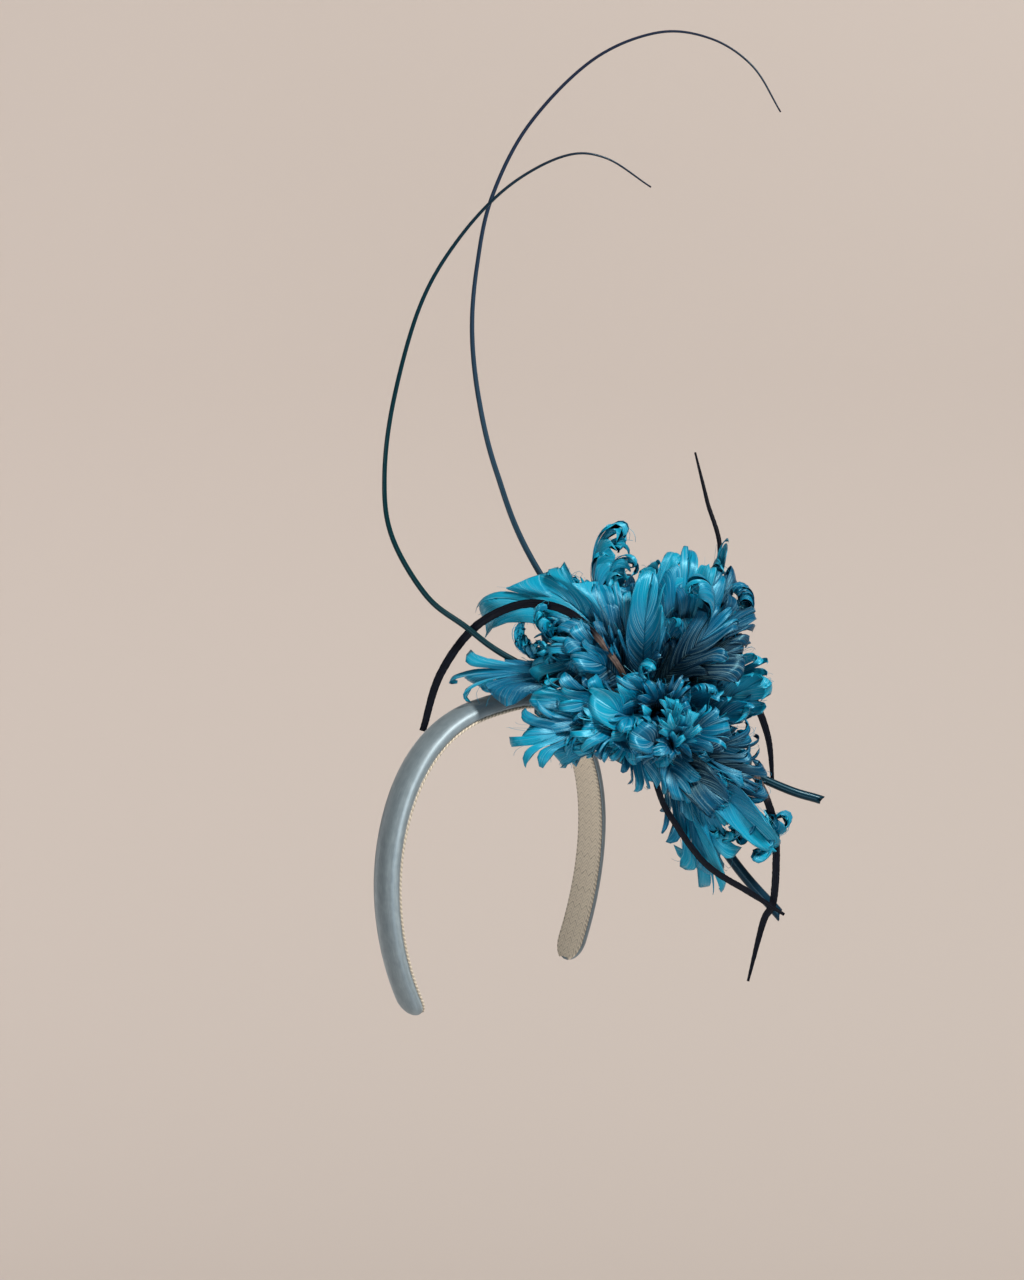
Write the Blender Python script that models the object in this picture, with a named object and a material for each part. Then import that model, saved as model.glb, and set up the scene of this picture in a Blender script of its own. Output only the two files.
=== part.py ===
"""Feather headband: a padded satin arch with a flower of curled feathers and two long arching quills.

Metres, +Z up, +X the wearer's left, -Y the wearer's front. The origin is where the top of the
arch sits on the crown of the head. The arch stands in the plane Y = 0. The flower sits in front
of it, to the wearer's left, and is laid out square to the side that it is made to be seen from.
"""

import bmesh
import bpy
import math
import numpy as np

MM = 0.001
SOLID_GAP = 0.3 * MM  # left between neighbouring solids
WELD = 0.002 * MM  # points closer than this become one

# Padded arch, as worn
BAND_WIDTH = 15.0 * MM
BAND_PAD_HEIGHT = 5.0 * MM
BAND_HALF_SPAN = 68.0 * MM  # from the middle to the flat inner face
BAND_CROWN_HEIGHT = 73.0 * MM  # from the widest level up to the apex
BAND_CROWN_POWER = 0.77  # below 1 the crown is squarer than an ellipse
BAND_LEG_DROP = 67.0 * MM  # from the widest level down to the tips
BAND_LEG_TUCK = 18.0 * MM  # how far the tips turn in
BAND_END_ROUND = 11.0 * MM  # length over which each tip rounds off
BAND_TIP_SHARES = (0.0, 0.07, 0.27, 0.6, 1.0)  # stations within that length
BAND_CROWN_STEPS = 13  # stations from the widest level to the apex
BAND_LEG_STEPS = 8

# Braid lining on the flat inner face
LINING_WIDTH = 14.8 * MM
LINING_THICKNESS = 1.6 * MM
LINING_END_INSET = 1.0 * MM

# Room for the head that the headpiece is worn on: an ellipsoid, its half sizes and its centre
HEAD_HALF = np.array((66.5, 102.0, 78.0)) * MM
HEAD_CENTRE = np.array((0.0, -11.0, -78.3)) * MM

# Oval base on the head, in front of the arch, that the flower is sewn to
BASE_CENTRE_XY = np.array((30.0, -31.0)) * MM
BASE_HALF_XY = np.array((20.0, 26.0)) * MM
BASE_LIFT = 0.4 * MM
BASE_THICKNESS = 2.6 * MM
BASE_RINGS = 4
BASE_SIDES = 24

# The side that the flower is seen from: the wearer's right front, a little above
VIEW_TURN = math.radians(-45.0)
VIEW_TILT = math.radians(17.0)

# Flower of curled feathers. Places are mm across, up and near, as seen from that side
HEART = (69.0, -2.0, 0.0)
CORE_OFFSET = (1.0, 3.0, 8.0)
CORE_HALF = (21.0, 21.0, 27.0)
FEATHER_THICKNESS = (1.8, 1.1)  # at the root and at the tip, mm
FEATHER_STATIONS = 9
FEATHER_CURL_START = 0.45  # share of the length at which a slight curl starts
FEATHER_CURL_DELAY = 1 / 600  # share later, for each degree of curl
FEATHER_CUP = 0.16  # how far the edges lift, as a share of the width
CHANNEL_GAP = 0.45 * MM  # round each quill and spine that goes through the flower

# A bunch of feathers: its name, where its quills meet (mm from the heart), and its feathers.
# across, up, near: the farthest point reached, mm from the heart
# width: mm. bow: degrees the shaft arches. curl: degrees the tip turns. roll: degrees about the shaft
FEATHER_COLUMNS = ("across", "up", "near", "width", "bow", "curl", "roll")
FEATHER_BUNCHES = (
    ("upper", (4, 10, 8), (
        (8, 66, 22, 19, 20, -70, 0),
        (19, 78, 12, 18, 20, -60, 0),
        (29, 79, 2, 20, 25, -60, 0),
        (-12, 87, 8, 9, 15, 130, -80),
        (-20, 68, 2, 16, 10, -50, 10),
        (-3, 73, 12, 8, 10, 170, -80),
        (-4, 62, -8, 12, 0, -60, 0),
        (24, 55, 30, 13, 20, 150, 60),
        (42, 74, 6, 12, 10, 90, 70),
        (54, 60, 2, 15, -20, 110, 60),
        (55, 34, 0, 14, -20, 80, 60),
        (35, 62, 16, 11, 20, -60, 10),
    )),
    ("left", (-8, 13, 10), (
        (-52, 66, 10, 20, 40, -40, 50),
        (-25, 67, 2, 12, 20, 120, 80),
        (-75, 55, 2, 16, 35, -30, 50),
        (-68, 46, 0, 13, 30, -30, 50),
        (-46, 51, 26, 7, -10, 150, 80),
        (-57, 37, 18, 6, -10, 170, 80),
        (-44, 38, 26, 16, 30, -60, 30),
        (-52, 23, 26, 14, 20, -60, 20),
        (-86, 13, 14, 15, 25, -40, 30),
        (-76, 23, 8, 9, 10, 120, 80),
    )),
    ("crescent", (-8, 2, 22), (
        (-55, 8, 37, 16, 25, -60, 10),
        (-50, -4, 42, 14, 25, -60, 10),
        (-60, -11, 47, 14, 30, -50, 10),
        (-27, -19, 48, 8, 15, -50, 0),
        (-18, -22, 44, 8, 15, -60, 0),
        (-33, -3, 50, 14, 20, -70, 0),
        (-12, -9, 50, 12, 20, -80, 0),
        (-4, -21, 38, 12, 15, -80, 0),
    )),
    ("centre", (4, 2, 22), (
        (-26, 10, 46, 17, 25, -70, 0),
        (3, 24, 42, 9, 20, 170, 20),
        (-5, -4, 46, 13, 15, -80, 0),
        (15, 8, 44, 8, 10, -70, 0),
        (22, 6, 40, 8, 10, -70, 0),
    )),
    ("right", (8, -4, 10), (
        (63, 18, 12, 20, -20, 70, 40),
        (59, 27, 4, 19, -20, 70, 40),
        (45, 27, 20, 17, -15, 80, 30),
        (34, 10, 32, 12, 15, 140, 60),
        (56, 6, 22, 16, -15, 60, 20),
        (30, -3, 32, 10, 10, 130, 60),
    )),
    ("lower", (8, -8, 8), (
        (58, -10, 4, 10, 15, 110, 80),
        (62, -36, 6, 16, 15, -50, 20),
        (68, -50, 4, 13, 10, 110, 80),
        (52, -50, 14, 17, 20, -50, 10),
        (61, -63, 6, 14, 15, -70, 60),
        (46, -62, 8, 12, 10, 120, -80),
        (36, -60, 18, 17, 20, -50, 0),
        (32, -79, 14, 14, 20, -40, 0),
        (25, -62, 22, 13, 20, -50, 0),
        (11, -33, 30, 13, 20, -80, 0),
    )),
    ("far side", (2, 4, -8), (
        (-48, 48, -16, 16, 30, 60, 0),
        (-20, 62, -24, 17, 25, 70, 0),
        (12, 66, -28, 18, 25, 70, 0),
        (40, 52, -26, 17, 25, 70, 0),
        (56, 22, -24, 17, 25, 70, 0),
        (58, -14, -20, 16, 20, 70, 0),
        (46, -46, -12, 16, 20, 60, 0),
        (-34, 26, -30, 15, 20, 80, 0),
        (-4, 38, -40, 16, 20, 80, 0),
        (26, 32, -42, 16, 20, 80, 0),
        (40, 2, -38, 15, 20, 80, 0),
    )),
)

# Quills, from the cut butt to the tip: across, up, near and thickness of the shaft, all mm
QUILL_SIDES = 8
QUILL_STEPS = 44
QUILL_BORE_DEPTH = 14.0 * MM
QUILL_WALL = 0.7 * MM
QUILL_TALL = (
    (136.3, -96.7, -14, 5.2),
    (112.0, -68.2, -11, 5.0),
    (68.9, -3.9, -6, 4.0),
    (20.3, 69.0, -8, 2.9),
    (2.4, 112.2, -10, 2.6),
    (-6.1, 146.8, -12, 2.4),
    (-9.4, 180.0, -14, 2.2),
    (-6.9, 211.9, -17, 2.0),
    (0.0, 243.7, -20, 1.9),
    (17.4, 278.1, -24, 1.7),
    (47.5, 309.3, -28, 1.5),
    (78.5, 322.8, -30, 1.3),
    (104.0, 320.1, -30, 1.1),
    (124.0, 306.8, -29, 1.0),
    (137.3, 284.7, -27, 0.8),
)
QUILL_LOW = (
    (155.6, -42.0, -6, 4.2),
    (132.4, -34.0, -4, 4.1),
    (68.6, -3.7, 4, 3.6),
    (10.4, 24.0, 14, 3.0),
    (-12.4, 39.9, 19, 2.8),
    (-30.5, 54.3, 23, 2.6),
    (-46.3, 81.7, 28, 2.4),
    (-49.6, 109.1, 31, 2.2),
    (-45.3, 144.5, 33, 2.1),
    (-33.1, 188.1, 33, 1.9),
    (-16.0, 218.3, 31, 1.7),
    (7.1, 243.4, 28, 1.4),
    (33.2, 258.3, 24, 1.2),
    (52.8, 258.0, 21, 1.0),
    (74.3, 244.7, 17, 0.8),
)

# Flat trimmed spines, from root to tip: across, up, near and width of the strip, all mm
SPINE_THICKNESS = 1.0 * MM
SPINE_STEPS = 14
SPINES = (
    ("navy_loop_left", (
        (64.0, 9.0, 18, 2.4),
        (58.5, 22.0, 30, 2.8),
        (42.4, 41.7, 27, 3.6),
        (26.7, 49.7, 22, 3.9),
        (9.5, 49.0, 16, 4.0),
        (-9.2, 38.2, 13, 4.0),
        (-24.3, 16.8, 14, 3.8),
        (-32.2, -9.0, 15, 3.2),
    )),
    ("navy_spike_up", (
        (79.0, 6.0, 4, 2.6),
        (96.0, 36.0, -4, 2.5),
        (107.5, 73.0, -9, 2.3),
        (101.6, 99.5, -12, 1.9),
        (96.1, 122.3, -14, 1.0),
    )),
    ("navy_sweep_right", (
        (80.0, 4.0, -4, 3.4),
        (104.0, 18.0, -6, 3.6),
        (118.0, 14.0, -7, 3.6),
        (124.9, 2.8, -8, 3.6),
        (130.6, -13.8, -9, 3.0),
        (132.6, -34.0, -10, 1.6),
    )),
    ("navy_tail_low", (
        (82.0, -8.0, 8, 3.4),
        (104.0, -12.0, 8, 3.4),
        (122.0, -28.0, 7, 3.5),
        (131.5, -48.7, 5, 3.6),
        (133.5, -66.6, 3, 3.6),
        (132.2, -89.3, 1, 3.5),
        (127.5, -99.2, 0, 3.2),
        (120.4, -126.9, 0, 1.2),
    )),
    ("navy_sweep_low", (
        (72.0, -12.0, 20, 3.0),
        (77.6, -36.6, 24, 3.4),
        (84.6, -50.6, 20, 3.6),
        (100.1, -71.2, 15, 3.8),
        (119.9, -84.1, 11, 3.6),
        (137.0, -95.1, 8, 1.8),
    )),
)

# name: colour (linear), roughness, metallic
FINISHES = {
    "satin": ((0.40, 0.47, 0.50), 0.38, 0.0),
    "braid": ((0.52, 0.46, 0.36), 0.70, 0.0),
    "base cloth": ((0.010, 0.110, 0.170), 0.80, 0.0),
    "dyed feather": ((0.004, 0.165, 0.290), 0.55, 0.0),
    "slate quill": ((0.020, 0.060, 0.110), 0.30, 0.0),
    "teal quill": ((0.004, 0.075, 0.095), 0.30, 0.0),
    "navy spine": ((0.004, 0.006, 0.016), 0.45, 0.0),
}


def clear_scene():
    for item in list(bpy.data.objects):
        bpy.data.objects.remove(item, do_unlink=True)


def finish(name):
    """The Principled material of one finish, made once."""
    found = bpy.data.materials.get(name)
    if found:
        return found
    colour, roughness, metallic = FINISHES[name]
    material = bpy.data.materials.new(name)
    material.use_nodes = True
    shader = material.node_tree.nodes["Principled BSDF"]
    shader.inputs["Base Color"].default_value = (*colour, 1.0)
    shader.inputs["Roughness"].default_value = roughness
    shader.inputs["Metallic"].default_value = metallic
    return material


def add_object(name, points, faces, material):
    """An object of the given mesh, its faces turned outwards."""
    mesh = bpy.data.meshes.new(name)
    mesh.from_pydata([tuple(point) for point in points], [], faces)
    shape = bmesh.new()
    shape.from_mesh(mesh)
    bmesh.ops.recalc_face_normals(shape, faces=shape.faces[:])
    shape.to_mesh(mesh)
    shape.free()
    mesh.materials.append(finish(material))
    made = bpy.data.objects.new(name, mesh)
    bpy.context.collection.objects.link(made)
    return made


def laid(places):
    """Places in mm across, up and near, as seen from the front side, turned to metres in X, Y, Z."""
    across = np.array((math.cos(VIEW_TURN), math.sin(VIEW_TURN), 0.0))
    up = np.array((
        -math.sin(VIEW_TURN) * math.sin(VIEW_TILT),
        math.cos(VIEW_TURN) * math.sin(VIEW_TILT),
        math.cos(VIEW_TILT),
    ))
    near = np.cross(across, up)
    return np.asarray(places, float) @ np.array((across, up, near)) * MM


def read_at(wanted, length, rows):
    """Rows read at the wanted lengths, along a line whose length is known at each row."""
    return np.stack([np.interp(wanted, length, column) for column in rows.T], axis=1)


def smooth_path(rows, steps):
    """Rows of numbers joined by a Catmull-Rom curve, read at even steps of length."""
    rows = np.asarray(rows, float)
    ends = np.vstack((2 * rows[0] - rows[1], rows, 2 * rows[-1] - rows[-2]))
    fine = []
    for index in range(len(rows) - 1):
        before, start, end, after = ends[index:index + 4]
        for share in np.linspace(0.0, 1.0, 24, endpoint=False):
            fine.append(0.5 * (
                2 * start
                + (end - before) * share
                + (2 * before - 5 * start + 4 * end - after) * share ** 2
                + (3 * start - before - 3 * end + after) * share ** 3
            ))
    fine.append(rows[-1])
    fine = np.array(fine)
    length = np.r_[0.0, np.cumsum(np.linalg.norm(np.diff(fine[:, :3], axis=0), axis=1))]
    return read_at(np.linspace(0.0, length[-1], steps), length, fine)


def directions(path):
    """The unit direction of a path at each of its points."""
    slope = np.gradient(path, axis=0)
    return slope / np.linalg.norm(slope, axis=1, keepdims=True)


def unit(vectors):
    return vectors / np.linalg.norm(vectors, axis=-1, keepdims=True)


def tube_faces(rings, sides):
    """Quads between rings of points, and one face over each end."""
    faces = []
    for ring in range(rings - 1):
        for side in range(sides):
            follower = (side + 1) % sides
            faces.append((
                ring * sides + side,
                ring * sides + follower,
                (ring + 1) * sides + follower,
                (ring + 1) * sides + side,
            ))
    faces.append(tuple(range(sides)))
    faces.append(tuple((rings - 1) * sides + side for side in range(sides)))
    return faces


def ring_mesh(rings):
    """Points and faces of a closed skin over rings of points of one count."""
    rings = np.asarray(rings)
    return rings.reshape(-1, 3), tube_faces(rings.shape[0], rings.shape[1])


def arch_line(inward):
    """The arch's flat inner face line in the plane Y = 0, from the wearer's right tip to the left.

    The crown is |x / span|^(1/power) wide by a power of the sine high, and each leg falls
    with a tuck that grows with the square of the drop. It is moved inward along its normal.
    """
    turn = np.linspace(0.0, math.pi / 2, BAND_CROWN_STEPS)
    crown_x = -BAND_HALF_SPAN * np.cos(turn) ** BAND_CROWN_POWER
    crown_x[-1] = 0.0
    crown_z = BAND_CROWN_HEIGHT * (np.sin(turn) - 1.0)
    drop = np.linspace(1.0, 0.0, BAND_LEG_STEPS, endpoint=False)
    leg_x = -(BAND_HALF_SPAN - BAND_LEG_TUCK * drop ** 2)
    leg_z = -BAND_CROWN_HEIGHT - BAND_LEG_DROP * drop
    half = np.stack((np.r_[leg_x, crown_x], np.r_[leg_z, crown_z]), axis=1)
    line = np.vstack((half, half[-2::-1] * (-1.0, 1.0)))
    line[:, 1] += LINING_THICKNESS + SOLID_GAP
    outward = arch_outward(line)
    return line - outward * inward, outward


def arch_outward(line):
    """The outward unit normal of the arch's line, in the plane."""
    slope = np.gradient(line, axis=0)
    return unit(np.stack((-slope[:, 1], slope[:, 0]), axis=1))


def line_length(line):
    return np.r_[0.0, np.cumsum(np.linalg.norm(np.diff(line, axis=0), axis=1))]


def band_section():
    """Width and height of the D-shaped section, from one edge over the dome to the other."""
    turn = np.linspace(0.0, math.pi, 9)
    width = -np.cos(turn) * BAND_WIDTH / 2
    height = np.sin(turn) ** 0.8 * BAND_PAD_HEIGHT
    return width, height + 0.4 * MM * np.sin(turn)


def make_headband():
    """The padded arch: a D-shaped section carried along the arch, its tips rounded off."""
    line, outward = arch_line(0.0)
    length = line_length(line)
    tip = np.array(BAND_TIP_SHARES) * BAND_END_ROUND
    wanted = np.r_[tip, length[2:-2], length[-1] - tip[::-1]]
    line = read_at(wanted, length, line)
    outward = unit(read_at(wanted, length, outward))
    from_tip = np.minimum(wanted, length[-1] - wanted)
    share = np.clip(1.0 - from_tip / BAND_END_ROUND, 0.0, 1.0)
    size = np.sqrt(np.clip(1.0 - share ** 2, 0.05, 1.0))
    width, height = band_section()
    rings = []
    for spot, normal, scale in zip(line, outward, size):
        x = spot[0] + normal[0] * height * scale
        z = spot[1] + normal[1] * height * scale
        rings.append(np.stack((x, width * scale, z), axis=1))
    points, faces = ring_mesh(rings)
    return add_object("headband", points, faces, "satin")


def make_lining():
    """The braid: a flat ribbon along the inside of the arch, clear of it by the solid gap."""
    top, outward = arch_line(SOLID_GAP)
    length = line_length(top)
    wanted = np.r_[LINING_END_INSET, length[1:-1], length[-1] - LINING_END_INSET]
    top = read_at(wanted, length, top)
    outward = unit(read_at(wanted, length, outward))
    rings = []
    for spot, normal in zip(top, outward):
        low = spot - normal * LINING_THICKNESS
        half = LINING_WIDTH / 2
        rings.append((
            (spot[0], -half, spot[1]),
            (spot[0], half, spot[1]),
            (low[0], half, low[1]),
            (low[0], -half, low[1]),
        ))
    points, faces = ring_mesh(rings)
    return add_object("lining_braid", points, faces, "braid")


def head_height(x, y, rise):
    """Height of the head's surface, moved outwards by rise, above a spot in plan."""
    half = HEAD_HALF + rise
    inside = 1.0 - (x / half[0]) ** 2 - ((y - HEAD_CENTRE[1]) / half[1]) ** 2
    return HEAD_CENTRE[2] + half[2] * np.sqrt(inside)


def make_base():
    """The oval base: a disc that follows the head, cut straight along the front of the arch."""
    edge = -BAND_WIDTH / 2 - SOLID_GAP
    turn = np.linspace(0.0, 2 * math.pi, BASE_SIDES, endpoint=False)
    rings = []
    for rise, sizes in ((BASE_LIFT, range(1, BASE_RINGS + 1)),
                        (BASE_LIFT + BASE_THICKNESS, range(BASE_RINGS, 0, -1))):
        for ring in sizes:
            size = ring / BASE_RINGS
            x = BASE_CENTRE_XY[0] + np.cos(turn) * BASE_HALF_XY[0] * size
            y = np.minimum(BASE_CENTRE_XY[1] + np.sin(turn) * BASE_HALF_XY[1] * size, edge)
            rings.append(np.stack((x, y, head_height(x, y, rise)), axis=1))
    points, faces = ring_mesh(rings)
    return add_object("feather_base", points, faces, "base cloth")


def feather_line(bow, curl):
    """A shaft in its own plane: along and aside, one unit from root to farthest point.

    The direction turns evenly by bow, then by curl as the 1.5th power of the way past its
    start. A tight curl starts later, and the stations crowd towards the tip.
    """
    fine = np.linspace(0.0, 1.0, 61)
    start = FEATHER_CURL_START + abs(curl) * FEATHER_CURL_DELAY
    past = np.clip((fine - start) / (1.0 - start), 0.0, 1.0)
    angle = np.radians(bow) * (0.5 - fine) + np.radians(curl) * past ** 1.5
    along = np.r_[0.0, np.cumsum(np.cos(angle))[:-1]]
    aside = np.r_[0.0, np.cumsum(np.sin(angle))[:-1]]
    far = int(np.argmax(along ** 2 + aside ** 2))
    reach = math.hypot(along[far], aside[far])
    lean = math.atan2(aside[far], along[far])
    turned = np.stack((
        along * math.cos(lean) + aside * math.sin(lean),
        aside * math.cos(lean) - along * math.sin(lean),
    ), axis=1) / reach
    stations = 1.0 - np.linspace(1.0, 0.0, FEATHER_STATIONS) ** 1.35
    return read_at(stations, fine, turned), stations


def feather_width(stations, width):
    """Narrow at the root, full past the middle, and rounded off at the tip."""
    swell = np.minimum(1.0, 0.34 + 1.25 * stations)
    round_off = np.sqrt(np.clip(1.0 - np.clip((stations - 0.6) / 0.4, 0.0, 1.0) ** 2, 0.03, 1.0))
    return width * swell * round_off


def feather_rings(hub, tip, width, bow, curl, roll):
    """A feather as a strip of lens-shaped rings, in mm as seen from the front side."""
    shaft = tip - hub
    reach = np.linalg.norm(shaft)
    ahead = shaft / reach
    toward = unit(np.array((0.0, 0.0, 1.0)) - ahead * ahead[2])
    beside = np.cross(ahead, toward)
    aside = toward * math.cos(math.radians(roll)) + beside * math.sin(math.radians(roll))
    across = np.cross(ahead, aside)
    flat, stations = feather_line(bow, curl)
    line = hub + reach * (flat[:, :1] * ahead + flat[:, 1:] * aside)
    normal = np.cross(across, directions(line))
    half = feather_width(stations, width)[:, None] / 2
    thick = np.interp(stations, (0.0, 1.0), FEATHER_THICKNESS)[:, None] / 2
    lift = normal * half * FEATHER_CUP * 2
    rings = np.stack((
        line + across * half + lift,
        line + normal * thick,
        line - across * half + lift,
        line - normal * thick,
    ), axis=1)
    return rings


def flower_core():
    """The sewn heart of the flower, an oval ball that every feather starts in."""
    shape = bmesh.new()
    bmesh.ops.create_icosphere(shape, subdivisions=2, radius=1.0)
    points = np.array([vertex.co for vertex in shape.verts])
    faces = [tuple(vertex.index for vertex in face.verts) for face in shape.faces]
    shape.free()
    centre = np.array(HEART) + CORE_OFFSET
    return add_object("feather_flower", laid(centre + points * CORE_HALF), faces, "dyed feather")


def head_room():
    """A cutter in the shape of the head and the base on it."""
    shape = bmesh.new()
    bmesh.ops.create_uvsphere(shape, u_segments=48, v_segments=32, radius=1.0)
    points = np.array([vertex.co for vertex in shape.verts])
    faces = [tuple(vertex.index for vertex in face.verts) for face in shape.faces]
    shape.free()
    rise = BASE_LIFT + BASE_THICKNESS + 3 * SOLID_GAP
    return add_object("head_room", HEAD_CENTRE + points * (HEAD_HALF + rise), faces, "base cloth")


def as_cutter(shape):
    shape.hide_render = True
    shape.display_type = "WIRE"
    return shape


def boolean(shape, others, operation):
    """The shape joined with, or cut by, each of the others, with the result made its mesh."""
    group = bpy.data.collections.new(operation.lower())
    for other in others:
        group.objects.link(other)
    step = shape.modifiers.new(operation.lower(), "BOOLEAN")
    step.operand_type = "COLLECTION"
    step.collection = group
    step.operation = operation
    step.solver = "EXACT"
    bpy.context.view_layer.update()
    depsgraph = bpy.context.evaluated_depsgraph_get()
    mesh = bpy.data.meshes.new_from_object(shape.evaluated_get(depsgraph))
    shape.modifiers.clear()
    shape.data = mesh
    for other in others:
        bpy.data.objects.remove(other, do_unlink=True)
    bpy.data.collections.remove(group)


def keep_largest(shape):
    """Trims off the crumbs that a cut leaves, so that the object stays one body."""
    body = bmesh.new()
    body.from_mesh(shape.data)
    bmesh.ops.remove_doubles(body, verts=body.verts[:], dist=WELD)
    left = set(body.verts)
    islands = []
    while left:
        island = set()
        edge = [left.pop()]
        while edge:
            vertex = edge.pop()
            island.add(vertex)
            for link in vertex.link_edges:
                other = link.other_vert(vertex)
                if other in left:
                    left.remove(other)
                    edge.append(other)
        islands.append(island)
    islands.sort(key=len)
    crumbs = [vertex for island in islands[:-1] for vertex in island]
    bmesh.ops.delete(body, geom=crumbs, context="VERTS")
    bmesh.ops.triangulate(body, faces=body.faces[:])
    body.to_mesh(shape.data)
    body.free()


def make_flower(channels):
    """The core and its feathers fused, then cut clear of the head and of what goes through."""
    core = flower_core()
    feathers = []
    for bunch, hub, rows in FEATHER_BUNCHES:
        hub = np.array(HEART) + hub
        for number, row in enumerate(rows):
            size = dict(zip(FEATHER_COLUMNS, row))
            tip = np.array(HEART) + (size["across"], size["up"], size["near"])
            rings = feather_rings(hub, tip, size["width"], size["bow"], size["curl"], size["roll"])
            points, faces = ring_mesh(rings)
            feathers.append(add_object(f"{bunch} {number}", laid(points), faces, "dyed feather"))
    boolean(core, feathers, "UNION")
    boolean(core, [head_room()] + channels, "DIFFERENCE")
    keep_largest(core)
    return core


def quill_rings(rows, room):
    """Rings round a quill, from the butt to the tip, fattened by room."""
    path = smooth_path(rows, QUILL_STEPS)
    line = path[:, :3]
    ahead = directions(line)
    side = unit(np.cross(ahead, (0.0, 0.0, 1.0)))
    up = np.cross(side, ahead)
    turn = np.linspace(0.0, 2 * math.pi, QUILL_SIDES, endpoint=False)[None, :, None]
    radius = path[:, 3][:, None, None] / 2 + room / MM
    return line[:, None] + radius * (side[:, None] * np.cos(turn) + up[:, None] * np.sin(turn))


def make_quill(name, rows, material):
    """A long tapering quill whose butt is cut across, open for a short way as a real one is."""
    rings = quill_rings(rows, 0.0)
    path = smooth_path(rows, QUILL_STEPS)
    centre = path[:, None, :3]
    wall = 1.0 - QUILL_WALL / MM / (path[:, 3][:, None, None] / 2)
    bore = centre + (rings - centre) * wall
    reach = line_length(path[:, :3])
    deep = int(np.argmin(np.abs(reach - QUILL_BORE_DEPTH / MM)))
    skin = np.concatenate((bore[deep::-1], rings))
    points, faces = ring_mesh(skin)
    return add_object(name, laid(points), faces, material)


def spine_rings(rows, room):
    """Rings round a flat spine: a lens-shaped strip that faces the front side."""
    path = smooth_path(rows, SPINE_STEPS)
    line = path[:, :3]
    ahead = directions(line)
    beside = unit(np.cross(ahead, (0.0, 0.0, 1.0)))
    face = np.cross(beside, ahead)
    half = path[:, 3][:, None] / 2 + room / MM * 1.5
    thick = SPINE_THICKNESS / MM / 2 + room / MM * 1.2
    return np.stack((
        line + beside * half,
        line + face * thick,
        line - beside * half,
        line - face * thick,
    ), axis=1)


def make_spine(name, rows):
    points, faces = ring_mesh(spine_rings(rows, 0.0))
    return add_object(name, laid(points), faces, "navy spine")


def make_channels():
    """Fattened copies of the quills and spines, which cut their way through the flower."""
    cutters = []
    for rows in (QUILL_TALL, QUILL_LOW):
        points, faces = ring_mesh(quill_rings(rows, CHANNEL_GAP))
        cutters.append(as_cutter(add_object("quill way", laid(points), faces, "dyed feather")))
    for name, rows in SPINES:
        points, faces = ring_mesh(spine_rings(rows, CHANNEL_GAP))
        cutters.append(as_cutter(add_object("spine way", laid(points), faces, "dyed feather")))
    return cutters


def main():
    clear_scene()
    make_headband()
    make_lining()
    make_base()
    make_flower(make_channels())
    make_quill("quill_tall", QUILL_TALL, "slate quill")
    make_quill("quill_low", QUILL_LOW, "teal quill")
    for name, rows in SPINES:
        make_spine(name, rows)


main()
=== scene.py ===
"""Looks of the feather headband: padded satin arch, braid lining, curled feather flower, two long
stripped quills and five trimmed spines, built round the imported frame. Metres, +Z up.
"""

import bmesh
import bpy
import math
import numpy as np
from mathutils import Matrix, Vector


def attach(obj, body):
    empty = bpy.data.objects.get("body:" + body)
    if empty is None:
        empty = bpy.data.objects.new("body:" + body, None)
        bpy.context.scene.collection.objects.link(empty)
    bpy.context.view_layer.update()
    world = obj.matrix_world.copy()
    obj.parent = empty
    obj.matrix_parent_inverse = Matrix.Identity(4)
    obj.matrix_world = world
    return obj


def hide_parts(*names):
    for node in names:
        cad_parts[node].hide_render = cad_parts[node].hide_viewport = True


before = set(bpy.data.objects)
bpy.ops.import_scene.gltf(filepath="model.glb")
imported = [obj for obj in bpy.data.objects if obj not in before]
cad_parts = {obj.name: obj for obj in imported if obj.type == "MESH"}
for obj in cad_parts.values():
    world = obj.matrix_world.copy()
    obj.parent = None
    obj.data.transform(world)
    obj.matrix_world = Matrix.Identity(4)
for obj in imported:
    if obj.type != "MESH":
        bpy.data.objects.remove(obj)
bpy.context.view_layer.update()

# Where it is seen from. The headpiece is made to be seen from the wearer's right front, a little
# above, and the flower, quills and spines are laid out square to that view, in millimetres.
MM = 0.001
VIEW_TURN = math.radians(-45.0)
VIEW_TILT = math.radians(17.0)
IMAGE_SIZE = np.array((1024, 1280))
IMAGE_ORIGIN = np.array((491.8, 711.3))  # the pixel that shows the model's origin
IMAGE_MM_PER_PIXEL = 0.47
CAMERA_DISTANCE = 2.2
SENSOR = 36.0  # mm

ACROSS = np.array((math.cos(VIEW_TURN), math.sin(VIEW_TURN), 0.0))
UP = np.array((
    -math.sin(VIEW_TURN) * math.sin(VIEW_TILT),
    math.cos(VIEW_TURN) * math.sin(VIEW_TILT),
    math.cos(VIEW_TILT),
))
NEAR = np.cross(ACROSS, UP)


def laid(places):
    """Places in mm across, up and near, as seen, turned to metres in X, Y, Z: one matrix product."""
    return np.asarray(places, float) @ np.array((ACROSS, UP, NEAR)) * MM


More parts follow.
